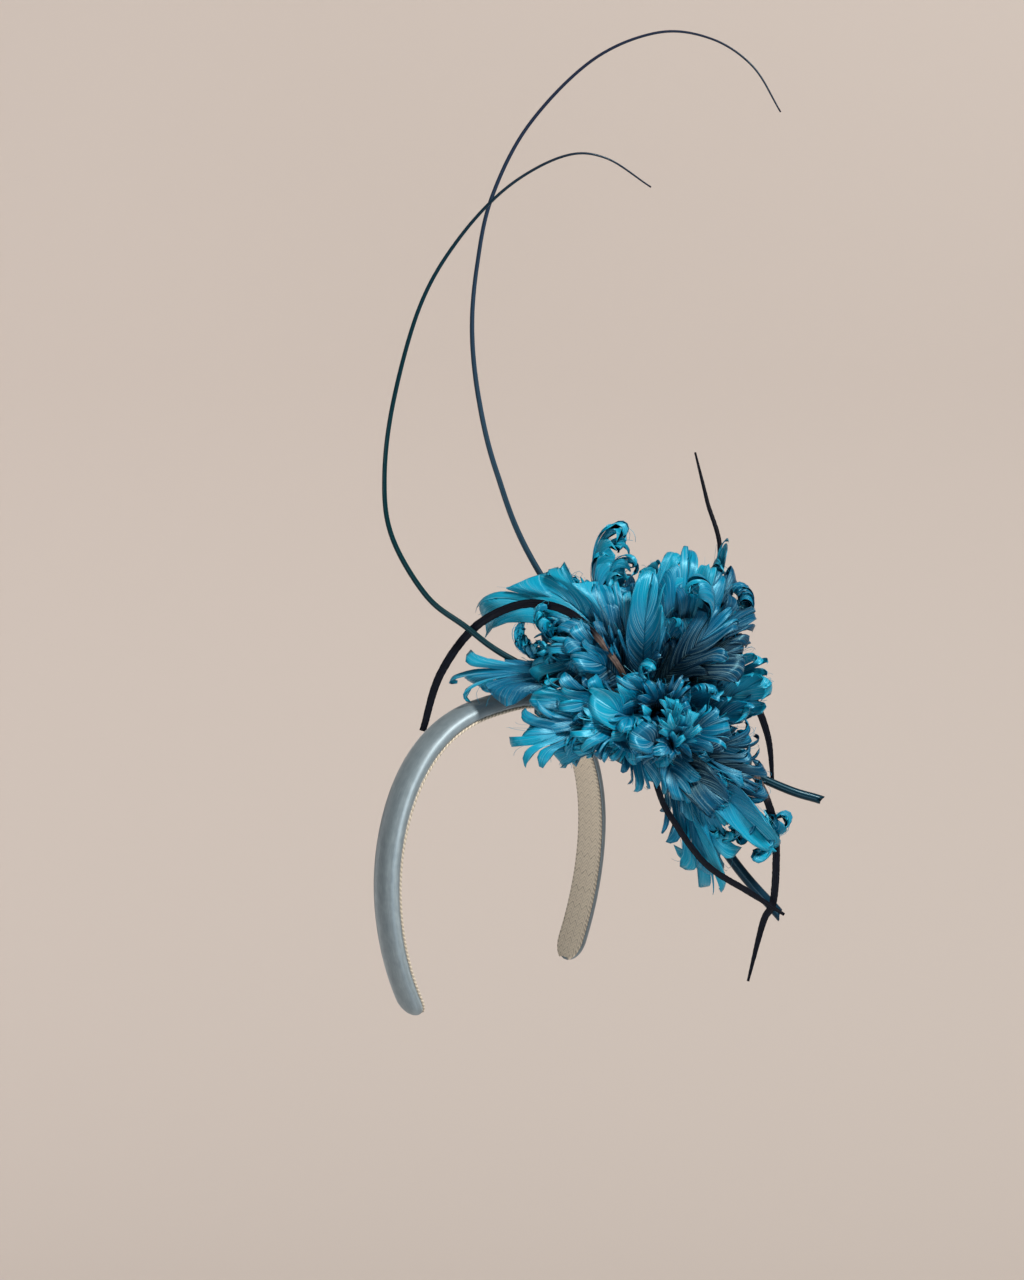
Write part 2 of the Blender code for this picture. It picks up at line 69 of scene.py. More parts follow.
right, down = (IMAGE_SIZE / 2 - IMAGE_ORIGIN) * IMAGE_MM_PER_PIXEL
middle = laid((right, -down, 0.0))
camera_data = bpy.data.cameras.new("camera")
camera_data.sensor_width = SENSOR
camera_data.lens = SENSOR * CAMERA_DISTANCE / (IMAGE_SIZE[1] * IMAGE_MM_PER_PIXEL * MM)
camera_data.clip_end = 20.0
camera = bpy.data.objects.new("camera", camera_data)
bpy.context.collection.objects.link(camera)
turned = Matrix((ACROSS, UP, NEAR)).transposed().to_4x4()
camera.matrix_world = Matrix.Translation(middle + NEAR * CAMERA_DISTANCE) @ turned
bpy.context.scene.camera = camera
bpy.context.scene.view_settings.view_transform = "Standard"


# Studio. A seamless sweep of warm pale paper stands well behind and below, with its own light. A
# soft light stands at the upper right, weaker ones at the left and low in front, and even light all
# round.
PAPER_COLOUR = "#d0c7c2"
PAPER_FLOOR = -0.62  # height of the paper's floor
PAPER_BACK = 1.15  # distance from the origin to its upright part
PAPER_BEND = 0.5  # radius of the sweep between the two
PAPER_FRONT = (-2.5, -1.0)  # the floor's first rows, in front of the origin
PAPER_HALF = 3.2  # half of its width
PAPER_TOP = 0.8  # height of the upright part above the floor


def linear(code):
    """An sRGB hex colour as linear red, green, blue and alpha."""
    parts = [int(code[k:k + 2], 16) / 255 for k in (1, 3, 5)]
    return (*[p / 12.92 if p <= 0.04045 else ((p + 0.055) / 1.055) ** 2.4 for p in parts], 1.0)


def add_node(tree, kind, inputs=None, **settings):
    """A node of the kind: settings are its attributes, and inputs take values or other sockets."""
    node = tree.nodes.new("ShaderNode" + kind)
    for name, value in settings.items():
        setattr(node, name, value)
    for key, value in (inputs or {}).items():
        if isinstance(value, bpy.types.NodeSocket):
            tree.links.new(value, node.inputs[key])
        else:
            node.inputs[key].default_value = value
    return node


def streaks(tree, place, scale, detail=3.0, roughness=0.6, turn=0.0):
    """Noise of a place: after a turn in its plane, scale cells for each unit along each axis.

    One unit of a uv map is 100 mm, but on a quill it is once round or its whole length. One unit
    of the object's own coordinates is 1 m.
    """
    moved = add_node(tree, "Mapping", {"Vector": place, "Rotation": (0.0, 0.0, turn), "Scale": scale})
    settings = {"Vector": moved.outputs[0], "Scale": 1.0, "Detail": detail, "Roughness": roughness}
    return add_node(tree, "TexNoise", settings).outputs[0]


def ramp(tree, source, stops):
    """A colour ramp over a value: stops are places from 0 to 1 and their colours."""
    node = add_node(tree, "ValToRGB", {"Fac": source})
    marks = node.color_ramp.elements
    marks.remove(marks[1])
    marks[0].position, marks[0].color = stops[0][0], linear(stops[0][1])
    for position, colour in stops[1:]:
        marks.new(position).color = linear(colour)
    return node.outputs[0]


def raised(tree, shader, height, strength, distance):
    """Joins a bump of the height to the shader."""
    inputs = {"Height": height, "Strength": strength, "Distance": distance}
    tree.links.new(add_node(tree, "Bump", inputs).outputs[0], shader.inputs["Normal"])


def new_material(name, values):
    """A material, its node tree, and its Principled shader, with values set on its own sockets."""
    made = bpy.data.materials.new(name)
    made.use_nodes = True
    shader = made.node_tree.nodes["Principled BSDF"]
    for socket, value in values.items():
        shader.inputs[socket].default_value = value
    return made, made.node_tree, shader


def aim(item, place, target):
    """Puts a light at a place and turns its -Z to the target."""
    item.location = place
    item.rotation_euler = (Vector(target) - Vector(place)).to_track_quat("-Z", "Y").to_euler()


def add_mesh(name, points, quads, material, uv=None, tone=None, caps=None, closed=True):
    """A smooth mesh object from arrays: points n by 3, quads m by 4, and caps, triangles k by 3.

    uv and tone have a row for each point. A closed mesh gets its faces turned outwards.
    """
    quads = np.asarray(quads, np.int32)
    caps = np.asarray(np.zeros((0, 3)) if caps is None else caps, np.int32)
    corners = np.r_[quads.ravel(), caps.ravel()]
    starts = np.r_[np.arange(len(quads)) * 4, quads.size + np.arange(len(caps)) * 3]
    mesh = bpy.data.meshes.new(name)
    mesh.vertices.add(len(points))
    mesh.vertices.foreach_set("co", np.asarray(points, np.float32).ravel())
    mesh.loops.add(len(corners))
    mesh.loops.foreach_set("vertex_index", corners)
    mesh.polygons.add(len(starts))
    mesh.polygons.foreach_set("loop_start", starts.astype(np.int32))
    if uv is not None:
        layer = mesh.uv_layers.new(name="UVMap")
        layer.data.foreach_set("uv", np.asarray(uv, np.float32)[corners].ravel())
    if tone is not None:
        layer = mesh.attributes.new("tone", "FLOAT", "POINT")
        layer.data.foreach_set("value", np.asarray(tone, np.float32))
    mesh.update()
    mesh.validate()
    if closed:
        shape = bmesh.new()
        shape.from_mesh(mesh)
        bmesh.ops.recalc_face_normals(shape, faces=shape.faces[:])
        shape.to_mesh(mesh)
        shape.free()
    mesh.shade_smooth()
    mesh.materials.append(material)
    made = bpy.data.objects.new(name, mesh)
    bpy.context.collection.objects.link(made)
    return made


def sheet_faces(rows, columns):
    """Quads of an open sheet of rows by columns."""
    row, column = np.meshgrid(np.arange(rows - 1), np.arange(columns - 1), indexing="ij")
    start = row * columns + column
    return np.stack((start, start + 1, start + columns + 1, start + columns), axis=-1).reshape(-1, 4)


# Matt background paper: no gloss, one even warm tone.
paper = new_material("matt background paper", {
    "Base Color": linear(PAPER_COLOUR), "Roughness": 0.95, "Specular IOR Level": 0.1,
})[0]
flat_back = np.array((NEAR[0], NEAR[1], 0.0)) / math.hypot(NEAR[0], NEAR[1])
bend = np.linspace(0.0, math.pi / 2, 24)
sweep_out = np.r_[PAPER_FRONT, PAPER_BACK - PAPER_BEND + PAPER_BEND * np.sin(bend), PAPER_BACK]
sweep_up = np.r_[0.0, 0.0, PAPER_BEND - PAPER_BEND * np.cos(bend), PAPER_TOP]
sides = np.linspace(-PAPER_HALF, PAPER_HALF, 3)
sweep = (
    -sweep_out[:, None, None] * flat_back
    + sides[None, :, None] * ACROSS
    + (sweep_up + PAPER_FLOOR)[:, None, None] * np.array((0.0, 0.0, 1.0))
)
paper_quads = sheet_faces(len(sweep_out), len(sides))
add_mesh("paper_sweep", sweep.reshape(-1, 3), paper_quads, paper, closed=False)

on_flower = middle * 0.6
on_paper = -flat_back * PAPER_BACK
LIGHTS = (
    # name, place in mm (across, up, near), size (m), power (W), colour, where it is aimed
    ("key_light", (850, 1350, 1000), 0.42, 47.0, "#fffaf2", on_flower),
    ("side_light", (-1150, 0, 1500), 0.50, 6.0, "#fffaf2", on_flower),
    ("low_light", (150, -650, 1500), 0.70, 7.5, "#f6fbff", on_flower),
    ("paper_light", (-950, -150, -450), 0.50, 2.0, "#fff4ee", on_paper),
)
for name, stand, size, power, colour, target in LIGHTS:
    light = bpy.data.lights.new(name, "AREA")
    light.shape = "DISK"
    light.size = size
    light.energy = power
    light.color = linear(colour)[:3]
    lamp = bpy.data.objects.new(name, light)
    lamp.visible_camera = False
    bpy.context.collection.objects.link(lamp)
    aim(lamp, laid(stand), target)
world = bpy.data.worlds.new("studio air")
bpy.context.scene.world = world
world.use_nodes = True
air = world.node_tree.nodes["Background"].inputs
air["Color"].default_value = linear("#f3f1ee")
air["Strength"].default_value = 0.13


# Padded arch. A wire and board core is wrapped in wadding and covered in silver blue satin, pulled
# round the edges and turned under, so the outside is a soft dome and the tips gather as they close.
BAND_WIDTH = 15.0  # mm, as are all sizes of the pieces below
BAND_PAD_HEIGHT = 5.0
BAND_HALF_SPAN = 68.0
BAND_CROWN_HEIGHT = 73.0
BAND_CROWN_POWER = 0.77
BAND_LEG_DROP = 67.0
BAND_LEG_TUCK = 18.0
BAND_END_ROUND = 11.0
BAND_STATION = 1.0  # mm between rings
BAND_INSET = 0.15  # mm from each end to its last ring
BAND_DOME = 31  # points round the outside of the section
BAND_UNDER = 10  # points across its flat underside
BAND_SWELL = 0.16  # mm that the wadding swells and sinks
BAND_PULL = 0.16  # mm that the turned edge is drawn in
BAND_GATHER = 0.22  # mm deep folds at the tips
LINING_THICKNESS = 1.6
SOLID_GAP = 0.3  # between the pad and the lining


def stacked(*parts):
    """Arrays broadcast to one shape and stacked along a new last axis."""
    return np.stack(np.broadcast_arrays(*parts), axis=-1)


def unit(vectors):
    """Vectors divided by their own length."""
    return vectors / np.maximum(np.linalg.norm(vectors, axis=-1, keepdims=True), 1e-12)


def read_at(wanted, length, rows):
    """Rows read at the wanted lengths, along a line whose length is known at each row."""
    return np.stack([np.interp(wanted, length, column) for column in rows.T], axis=1)


def line_length(line):
    """Length along a line of points, at each point."""
    return np.r_[0.0, np.cumsum(np.linalg.norm(np.diff(line, axis=0), axis=1))]


def arch_line(step, inset):
    """The arch's flat inner line in X and Z (mm), and its outward normals, at even steps.

    The crown is a superellipse: x = span cos^power, z = height (sin - 1). Each leg falls with
    x = span - tuck drop^2. The line stands above the lining that it carries.
    """
    turn = np.linspace(0.0, math.pi / 2, 200)
    crown_x = -BAND_HALF_SPAN * np.maximum(np.cos(turn), 0.0) ** BAND_CROWN_POWER
    crown_x[-1] = 0.0
    crown_z = BAND_CROWN_HEIGHT * (np.sin(turn) - 1.0)
    drop = np.linspace(1.0, 0.0, 80, endpoint=False)
    leg_x = -(BAND_HALF_SPAN - BAND_LEG_TUCK * drop ** 2)
    leg_z = -BAND_CROWN_HEIGHT - BAND_LEG_DROP * drop
    half = np.stack((np.r_[leg_x, crown_x], np.r_[leg_z, crown_z]), axis=1)
    line = np.vstack((half, half[-2::-1] * (-1.0, 1.0)))
    line[:, 1] += LINING_THICKNESS + SOLID_GAP
    length = line_length(line)
    wanted = np.linspace(inset, length[-1] - inset, int((length[-1] - 2 * inset) / step))
    line = read_at(wanted, length, line)
    slope = np.gradient(line, axis=0)
    return line, unit(np.stack((-slope[:, 1], slope[:, 0]), axis=1)), wanted, length[-1]


def soft_noise(first, second, seed):
    """Smooth noise of two parameters: five sine waves of random direction and phase, summed."""
    rng = np.random.default_rng(seed)
    total = np.zeros(np.broadcast(first, second).shape)
    for _ in range(5):
        turn, phase = rng.uniform(0.0, 2 * math.pi, 2)
        total = total + np.sin(first * math.cos(turn) + second * math.sin(turn) + phase)
    return total / 5


def tip_size(at, whole):
    """Share of the full width at each length along the arch: a quarter circle at each tip."""
    share = np.clip(1.0 - np.minimum(at, whole - at) / BAND_END_ROUND, 0.0, 1.0)[:, None]
    return np.sqrt(np.clip(1.0 - share ** 2, 0.0004, 1.0)), share


def skin_faces(rings, sides):
    """Quads of a skin over closed rings, as one array: each quad joins two rings side by side."""
    ring, side = np.meshgrid(np.arange(rings - 1), np.arange(sides), indexing="ij")
    follower = (side + 1) % sides
    corners = (ring * sides + side, ring * sides + follower,
               (ring + 1) * sides + follower, (ring + 1) * sides + side)
    return np.stack(corners, axis=-1).reshape(-1, 4)


def add_skins(name, skins, material):
    """One closed mesh of several skins, each given as rings of points with their uv and tone.

    Each end of a skin is closed by a fan of triangles to the mean of its ring.
    """
    points, quads, caps, uvs, tones = [], [], [], [], []
    start = 0
    for rings, uv, tone in skins:
        count, around = rings.shape[:2]
        points.extend((rings.reshape(-1, 3), rings[:1].mean(axis=1), rings[-1:].mean(axis=1)))
        quads.append(skin_faces(count, around) + start)
        side = np.arange(around)
        follower = (side + 1) % around
        for ring, pole in ((0, count * around), (count - 1, count * around + 1)):
            first = ring * around
            fan = (side + first, follower + first, np.full(around, pole))
            caps.append(np.stack(fan, axis=1) + start)
        uvs.extend((uv.reshape(-1, 2), uv[0, :1], uv[-1, :1]))
        tones.extend((tone.ravel(), tone[0, :1], tone[-1, :1]))
        start += count * around + 2
    points, quads, caps, uvs = (np.vstack(rows) for rows in (points, quads, caps, uvs))
    return add_mesh(name, points, quads, material, uvs, np.concatenate(tones), caps)


def padded_arch():
    """Rings of a D-shaped section carried along the arch line.

    The dome's height is pad sin^0.8, and the turned-under face is flat. Wadding swells it by soft
    noise, the turned edge is drawn in by fine pulls, and the tips gather in radiating folds.
    """
    line, outward, at, whole = arch_line(BAND_STATION, BAND_INSET)
    dome = np.linspace(0.0, math.pi, BAND_DOME)
    flat = np.zeros(BAND_UNDER)
    width = np.r_[-np.cos(dome), np.linspace(0.94, -0.94, BAND_UNDER)] * BAND_WIDTH / 2
    height = np.r_[np.sin(dome) ** 0.8 * BAND_PAD_HEIGHT + 0.4 * np.sin(dome), flat]
    rim = np.r_[np.cos(dome) ** 8, flat]
    top = np.r_[np.sin(dome), flat]
    size, share = tip_size(at, whole)
    along = at[:, None]
    angle = np.r_[dome, flat][None, :]
    swell = BAND_SWELL * soft_noise(along / 9.0, angle * 1.6, 4) * top
    stitch = np.abs(np.sin(along / 2.1 + 1.7 * soft_noise(along / 14.0, 0 * angle, 8)))
    pulls = -BAND_PULL * rim * stitch
    folds = BAND_GATHER * share ** 2 * np.sin(angle * 15.0) * top
    lift = height * size + swell * size + pulls + folds * size
    spread = width * size * (1.0 + 0.012 * soft_noise(along / 11.0, angle, 5))
    x = line[:, :1] + outward[:, :1] * lift
    z = line[:, 1:] + outward[:, 1:] * lift
    rings = np.stack((x, spread, z), axis=-1) * MM
    round_length = line_length(np.stack((width, height), axis=1))
    uv = stacked(round_length[None, :] / 100, along / 100)
    return rings, uv, np.zeros(rings.shape[:2])


# Duchess satin, woven with long warp floats along the arch. The floats lie flat and shine as one
# long soft streak, so the gloss is stretched along the weave. The 0.1 mm threads are too fine to
# show and are drawn 0.35 mm apart.
satin, tree, shader = new_material("duchess satin", {
    "Metallic": 0.55, "Roughness": 0.58, "Anisotropic": 0.75, "Anisotropic Rotation": 0.25,
    "Specular IOR Level": 0.8, "Sheen Weight": 0.25, "Sheen Roughness": 0.4,
})
place = add_node(tree, "UVMap").outputs[0]
floats = streaks(tree, place, (290.0, 16.0, 1.0))
clouds = streaks(tree, place, (22.0, 14.0, 1.0), 2.0)
halved = add_node(tree, "Math", {0: clouds, 1: 0.5}, operation="MULTIPLY").outputs[0]
both = add_node(tree, "Math", {0: floats, 1: 0.5, 2: halved}, operation="MULTIPLY_ADD").outputs[0]
blues = ramp(tree, both, ((0.3, "#7e8f99"), (0.7, "#9dadb6")))
tree.links.new(blues, shader.inputs["Base Color"])
raised(tree, shader, floats, 0.25, 0.00008)
weave = add_node(tree, "Tangent", direction_type="UV_MAP")
tree.links.new(weave.outputs[0], shader.inputs["Tangent"])

band = add_skins("satin_band", [padded_arch()], satin)
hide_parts("headband")
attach(band, "root")


# Braid lining. A flat braid of beige and silver yarn, twelve strands wide, is stitched along the
# inside of the arch, and a two-ply twisted cord finishes each of its edges.
LINING_WIDTH = 14.8
BRAID_STATION = 0.5
BRAID_INSET = 1.2
BRAID_PITCH = 3.4
BRAID_FOLDS = 3.0  # zigzags across half of its width
BRAID_RELIEF = 0.42
BRAID_GROUND = LINING_THICKNESS - 0.55  # mm to the bottom of the relief
BRAID_COLUMNS = 34
CORD_STATION = 0.32
CORD_INSET = 0.8
CORD_PITCH = 2.3
CORD_TURN = 0.36  # mm from the cord's middle to the middle of a ply
CORD_PLY = 0.42  # radius of a ply
CORD_SIDES = 6


def braid_ribbon():
    """A closed ribbon under the arch, whose inner face is a herringbone of oblique yarns.

    The relief is |sin| of a phase that climbs along the ribbon and zigzags across it.
    """
    line, outward, at, whole = arch_line(BRAID_STATION, BRAID_INSET)
    line = line - outward * SOLID_GAP
    size, _ = tip_size(at, whole)
    across = np.linspace(-1.0, 1.0, BRAID_COLUMNS)
    zigzag = np.abs((across * BRAID_FOLDS) % 2.0 - 1.0)
    phase = math.pi * (at[:, None] / BRAID_PITCH * 2.0 + zigzag[None, :] * 1.6)
    yarn = np.abs(np.sin(phase)) ** 0.6
    groove = np.abs(np.sin(across * BRAID_FOLDS * math.pi / 2)) ** 0.4
    depth = BRAID_GROUND + BRAID_RELIEF * yarn * (0.45 + 0.55 * groove)[None, :]
    half = LINING_WIDTH / 2 - 0.7
    rows = np.concatenate((np.zeros((len(at), 2)), depth[:, ::-1]), axis=1)
    spread = np.r_[-half, half, across[::-1] * half]
    x = line[:, :1] - outward[:, :1] * rows
    z = line[:, 1:] - outward[:, 1:] * rows
    y = spread[None, :] * size
    rings = np.stack((x, y, z), axis=-1) * MM
    tone = np.concatenate((np.zeros((len(at), 2)), yarn[:, ::-1]), axis=1)
    uv = stacked(spread[None, :] / 100, at[:, None] / 100)
    return rings, uv, tone


def axes_along(line, reference):
    """At each point of a line: its direction, and two more, square to it and to one another.

    The first of the two is the direction crossed with the reference, and the second is that
    crossed with the direction.
    """
    ahead = unit(np.gradient(line, axis=0))[:, None]
    side = unit(np.cross(ahead, reference))
    return ahead, side, np.cross(side, ahead)


def cord_ply(edge, ply):
    """One ply of the edge cord: a round yarn wound round the cord's axis as a helix."""
    line, outward, at, whole = arch_line(CORD_STATION, CORD_INSET)
    line = line - outward * (SOLID_GAP + LINING_THICKNESS * 0.5)
    turn = 2 * math.pi * at / CORD_PITCH + ply * math.pi
    size, _ = tip_size(at, whole)
    centre = np.stack((line[:, 0], edge * (LINING_WIDTH / 2 - 0.35) * size[:, 0], line[:, 1]), axis=1)
    out = np.stack((outward[:, 0], np.zeros(len(at)), outward[:, 1]), axis=1)
    side = np.array((0.0, 1.0, 0.0))
    axis = centre + CORD_TURN * (out * np.cos(turn)[:, None] + side * np.sin(turn)[:, None])
    _, normal, beside = axes_along(axis, side)
    ring = np.linspace(0.0, 2 * math.pi, CORD_SIDES, endpoint=False)[None, :, None]
    rings = axis[:, None] + CORD_PLY * (normal * np.cos(ring) + beside * np.sin(ring))
    uv = stacked(ring[..., 0] * CORD_PLY / 100, at[:, None] / 100)
    return rings * MM, uv, np.full(rings.shape[:2], 0.4 + 0.5 * ply)


# Braided rayon yarn: silky beige threads, with painted shade where they dive under one another, darker as
# the relief sinks. The 0.15 mm filaments are drawn 0.4 mm apart so that they show.
braid, tree, shader = new_material("braided rayon yarn", {"Roughness": 0.5, "Sheen Weight": 0.3})
threads = streaks(tree, add_node(tree, "UVMap").outputs[0], (250.0, 90.0, 1.0), 2.0)
depth = add_node(tree, "Attribute", attribute_name="tone").outputs["Fac"]
# Painted shade: the yarn's relief, read from the tone attribute, darkens the colour in the grooves.
mixed = add_node(tree, "Math", {0: threads, 1: 0.35, 2: depth}, operation="MULTIPLY_ADD").outputs[0]
tree.links.new(ramp(tree, mixed, ((0.15, "#6d6254"), (1.0, "#ded3c0"))), shader.inputs["Base Color"])
raised(tree, shader, threads, 0.4, 0.0001)

skins = [braid_ribbon()] + [cord_ply(edge, ply) for edge in (-1, 1) for ply in (0, 1)]
lining = add_skins("braid_lining", skins, braid)
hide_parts("lining_braid")
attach(lining, "root")


# Base of the flower. An oval of millinery felt, stiffened and blocked over a rounded form, lies
# against the front of the arch, and the feathers are sewn through it. It shows only from below.
BLOCK_HALF = np.array((66.5, 102.0, 78.0))
BLOCK_CENTRE = np.array((0.0, -11.0, -78.3))
BASE_CENTRE = np.array((30.0, -31.0))
BASE_HALF = np.array((20.0, 26.0))
BASE_LIFT = 0.4  # mm that its underside stands off the form
BASE_THICKNESS = 2.6
BASE_RINGS = 12  # rings on each face
EDGE_RINGS = 7


def oval_base():
    """Rings from the middle of the underside, round the edge and back over the top.

    Each ring is an ellipse in plan, cut straight at the arch, and lies on the form's ellipsoid
    raised by the lift, or by the lift and the thickness, with the edge rounded by a part wave.
    """
    face = np.linspace(0.06, 0.96, BASE_RINGS)
    edge = 0.96 + 0.04 * np.sin(np.linspace(1.2, math.pi - 1.2, EDGE_RINGS))
    size = np.r_[face, edge, face[::-1]]
    rise = np.r_[np.zeros(BASE_RINGS), np.linspace(0.08, 0.92, EDGE_RINGS), np.ones(BASE_RINGS)]
    rise = rise * BASE_THICKNESS + BASE_LIFT
    turn = np.linspace(0.0, 2 * math.pi, 72, endpoint=False)
    x = BASE_CENTRE[0] + np.cos(turn)[None, :] * BASE_HALF[0] * size[:, None]
    y = BASE_CENTRE[1] + np.sin(turn)[None, :] * BASE_HALF[1] * size[:, None]
    y = np.minimum(y, -BAND_WIDTH / 2 - SOLID_GAP)
    half = BLOCK_HALF[None, None, :] + rise[:, None, None]
    inside = 1.0 - (x / half[..., 0]) ** 2 - ((y - BLOCK_CENTRE[1]) / half[..., 1]) ** 2
    z = BLOCK_CENTRE[2] + half[..., 2] * np.sqrt(inside)
    rings = np.stack((x, y, z), axis=-1) * MM
    return rings, np.stack((x, y), axis=-1) / 100, np.zeros(rings.shape[:2])


# Wool felt, stiffened and dyed teal: matt, with short fibres that lie all ways. Its teal is made very dark,
# painted shade for the shadow under and inside the flower.
felt, tree, shader = new_material("stiffened wool felt", {"Roughness": 0.9})
place = add_node(tree, "TexCoord").outputs["Object"]
fibres = streaks(tree, place, (1400.0, 1400.0, 1400.0))
tree.links.new(ramp(tree, fibres, ((0.0, "#04303f"), (1.0, "#0b5a70"))), shader.inputs["Base Color"])
raised(tree, shader, fibres, 0.5, 0.0003)

base = add_skins("felt_base", [oval_base()], felt)
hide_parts("feather_base")
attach(base, "root")


# Curled feathers. Goose feathers are dyed teal, and each vane is split into locks of barbs that are
# curled with a blade. They are bound in bunches whose roots meet in the flower's heart.
HEART = np.array((69.0, -2.0, 0.0))
CURL_START = 0.45  # share of the shaft where a slight curl of its tip begins
CURL_DELAY = 1 / 1500  # how much farther on it begins for each degree of curl
CAMBER = 0.75  # radians that a vane turns from the shaft to its edge
BARB_STEPS = 14
LOCK_COLUMNS = np.array((0.0, 0.05, 0.2, 0.4, 0.6, 0.8, 0.95, 1.0))  # places across a lock
LOCK_THICKNESS = 0.16
LOCK_OVERLAP = 0.012  # share of the vane that a lock reaches under the next
MOST_SPLITS = 10  # extra splits of a vane that is all frizz
FIRST_ROOT, LAST_ROOT = 0.05, 0.66  # where the first and last barbs leave the shaft
FIRST_END = 0.42  # where the first barb ends
STRAY_BARBS = 12  # loose barbs of a feather
STRAY_GIRTH = 0.1  # mm
SHAFT_GIRTH = 0.5  # mm, half of a shaft's thickness at its root
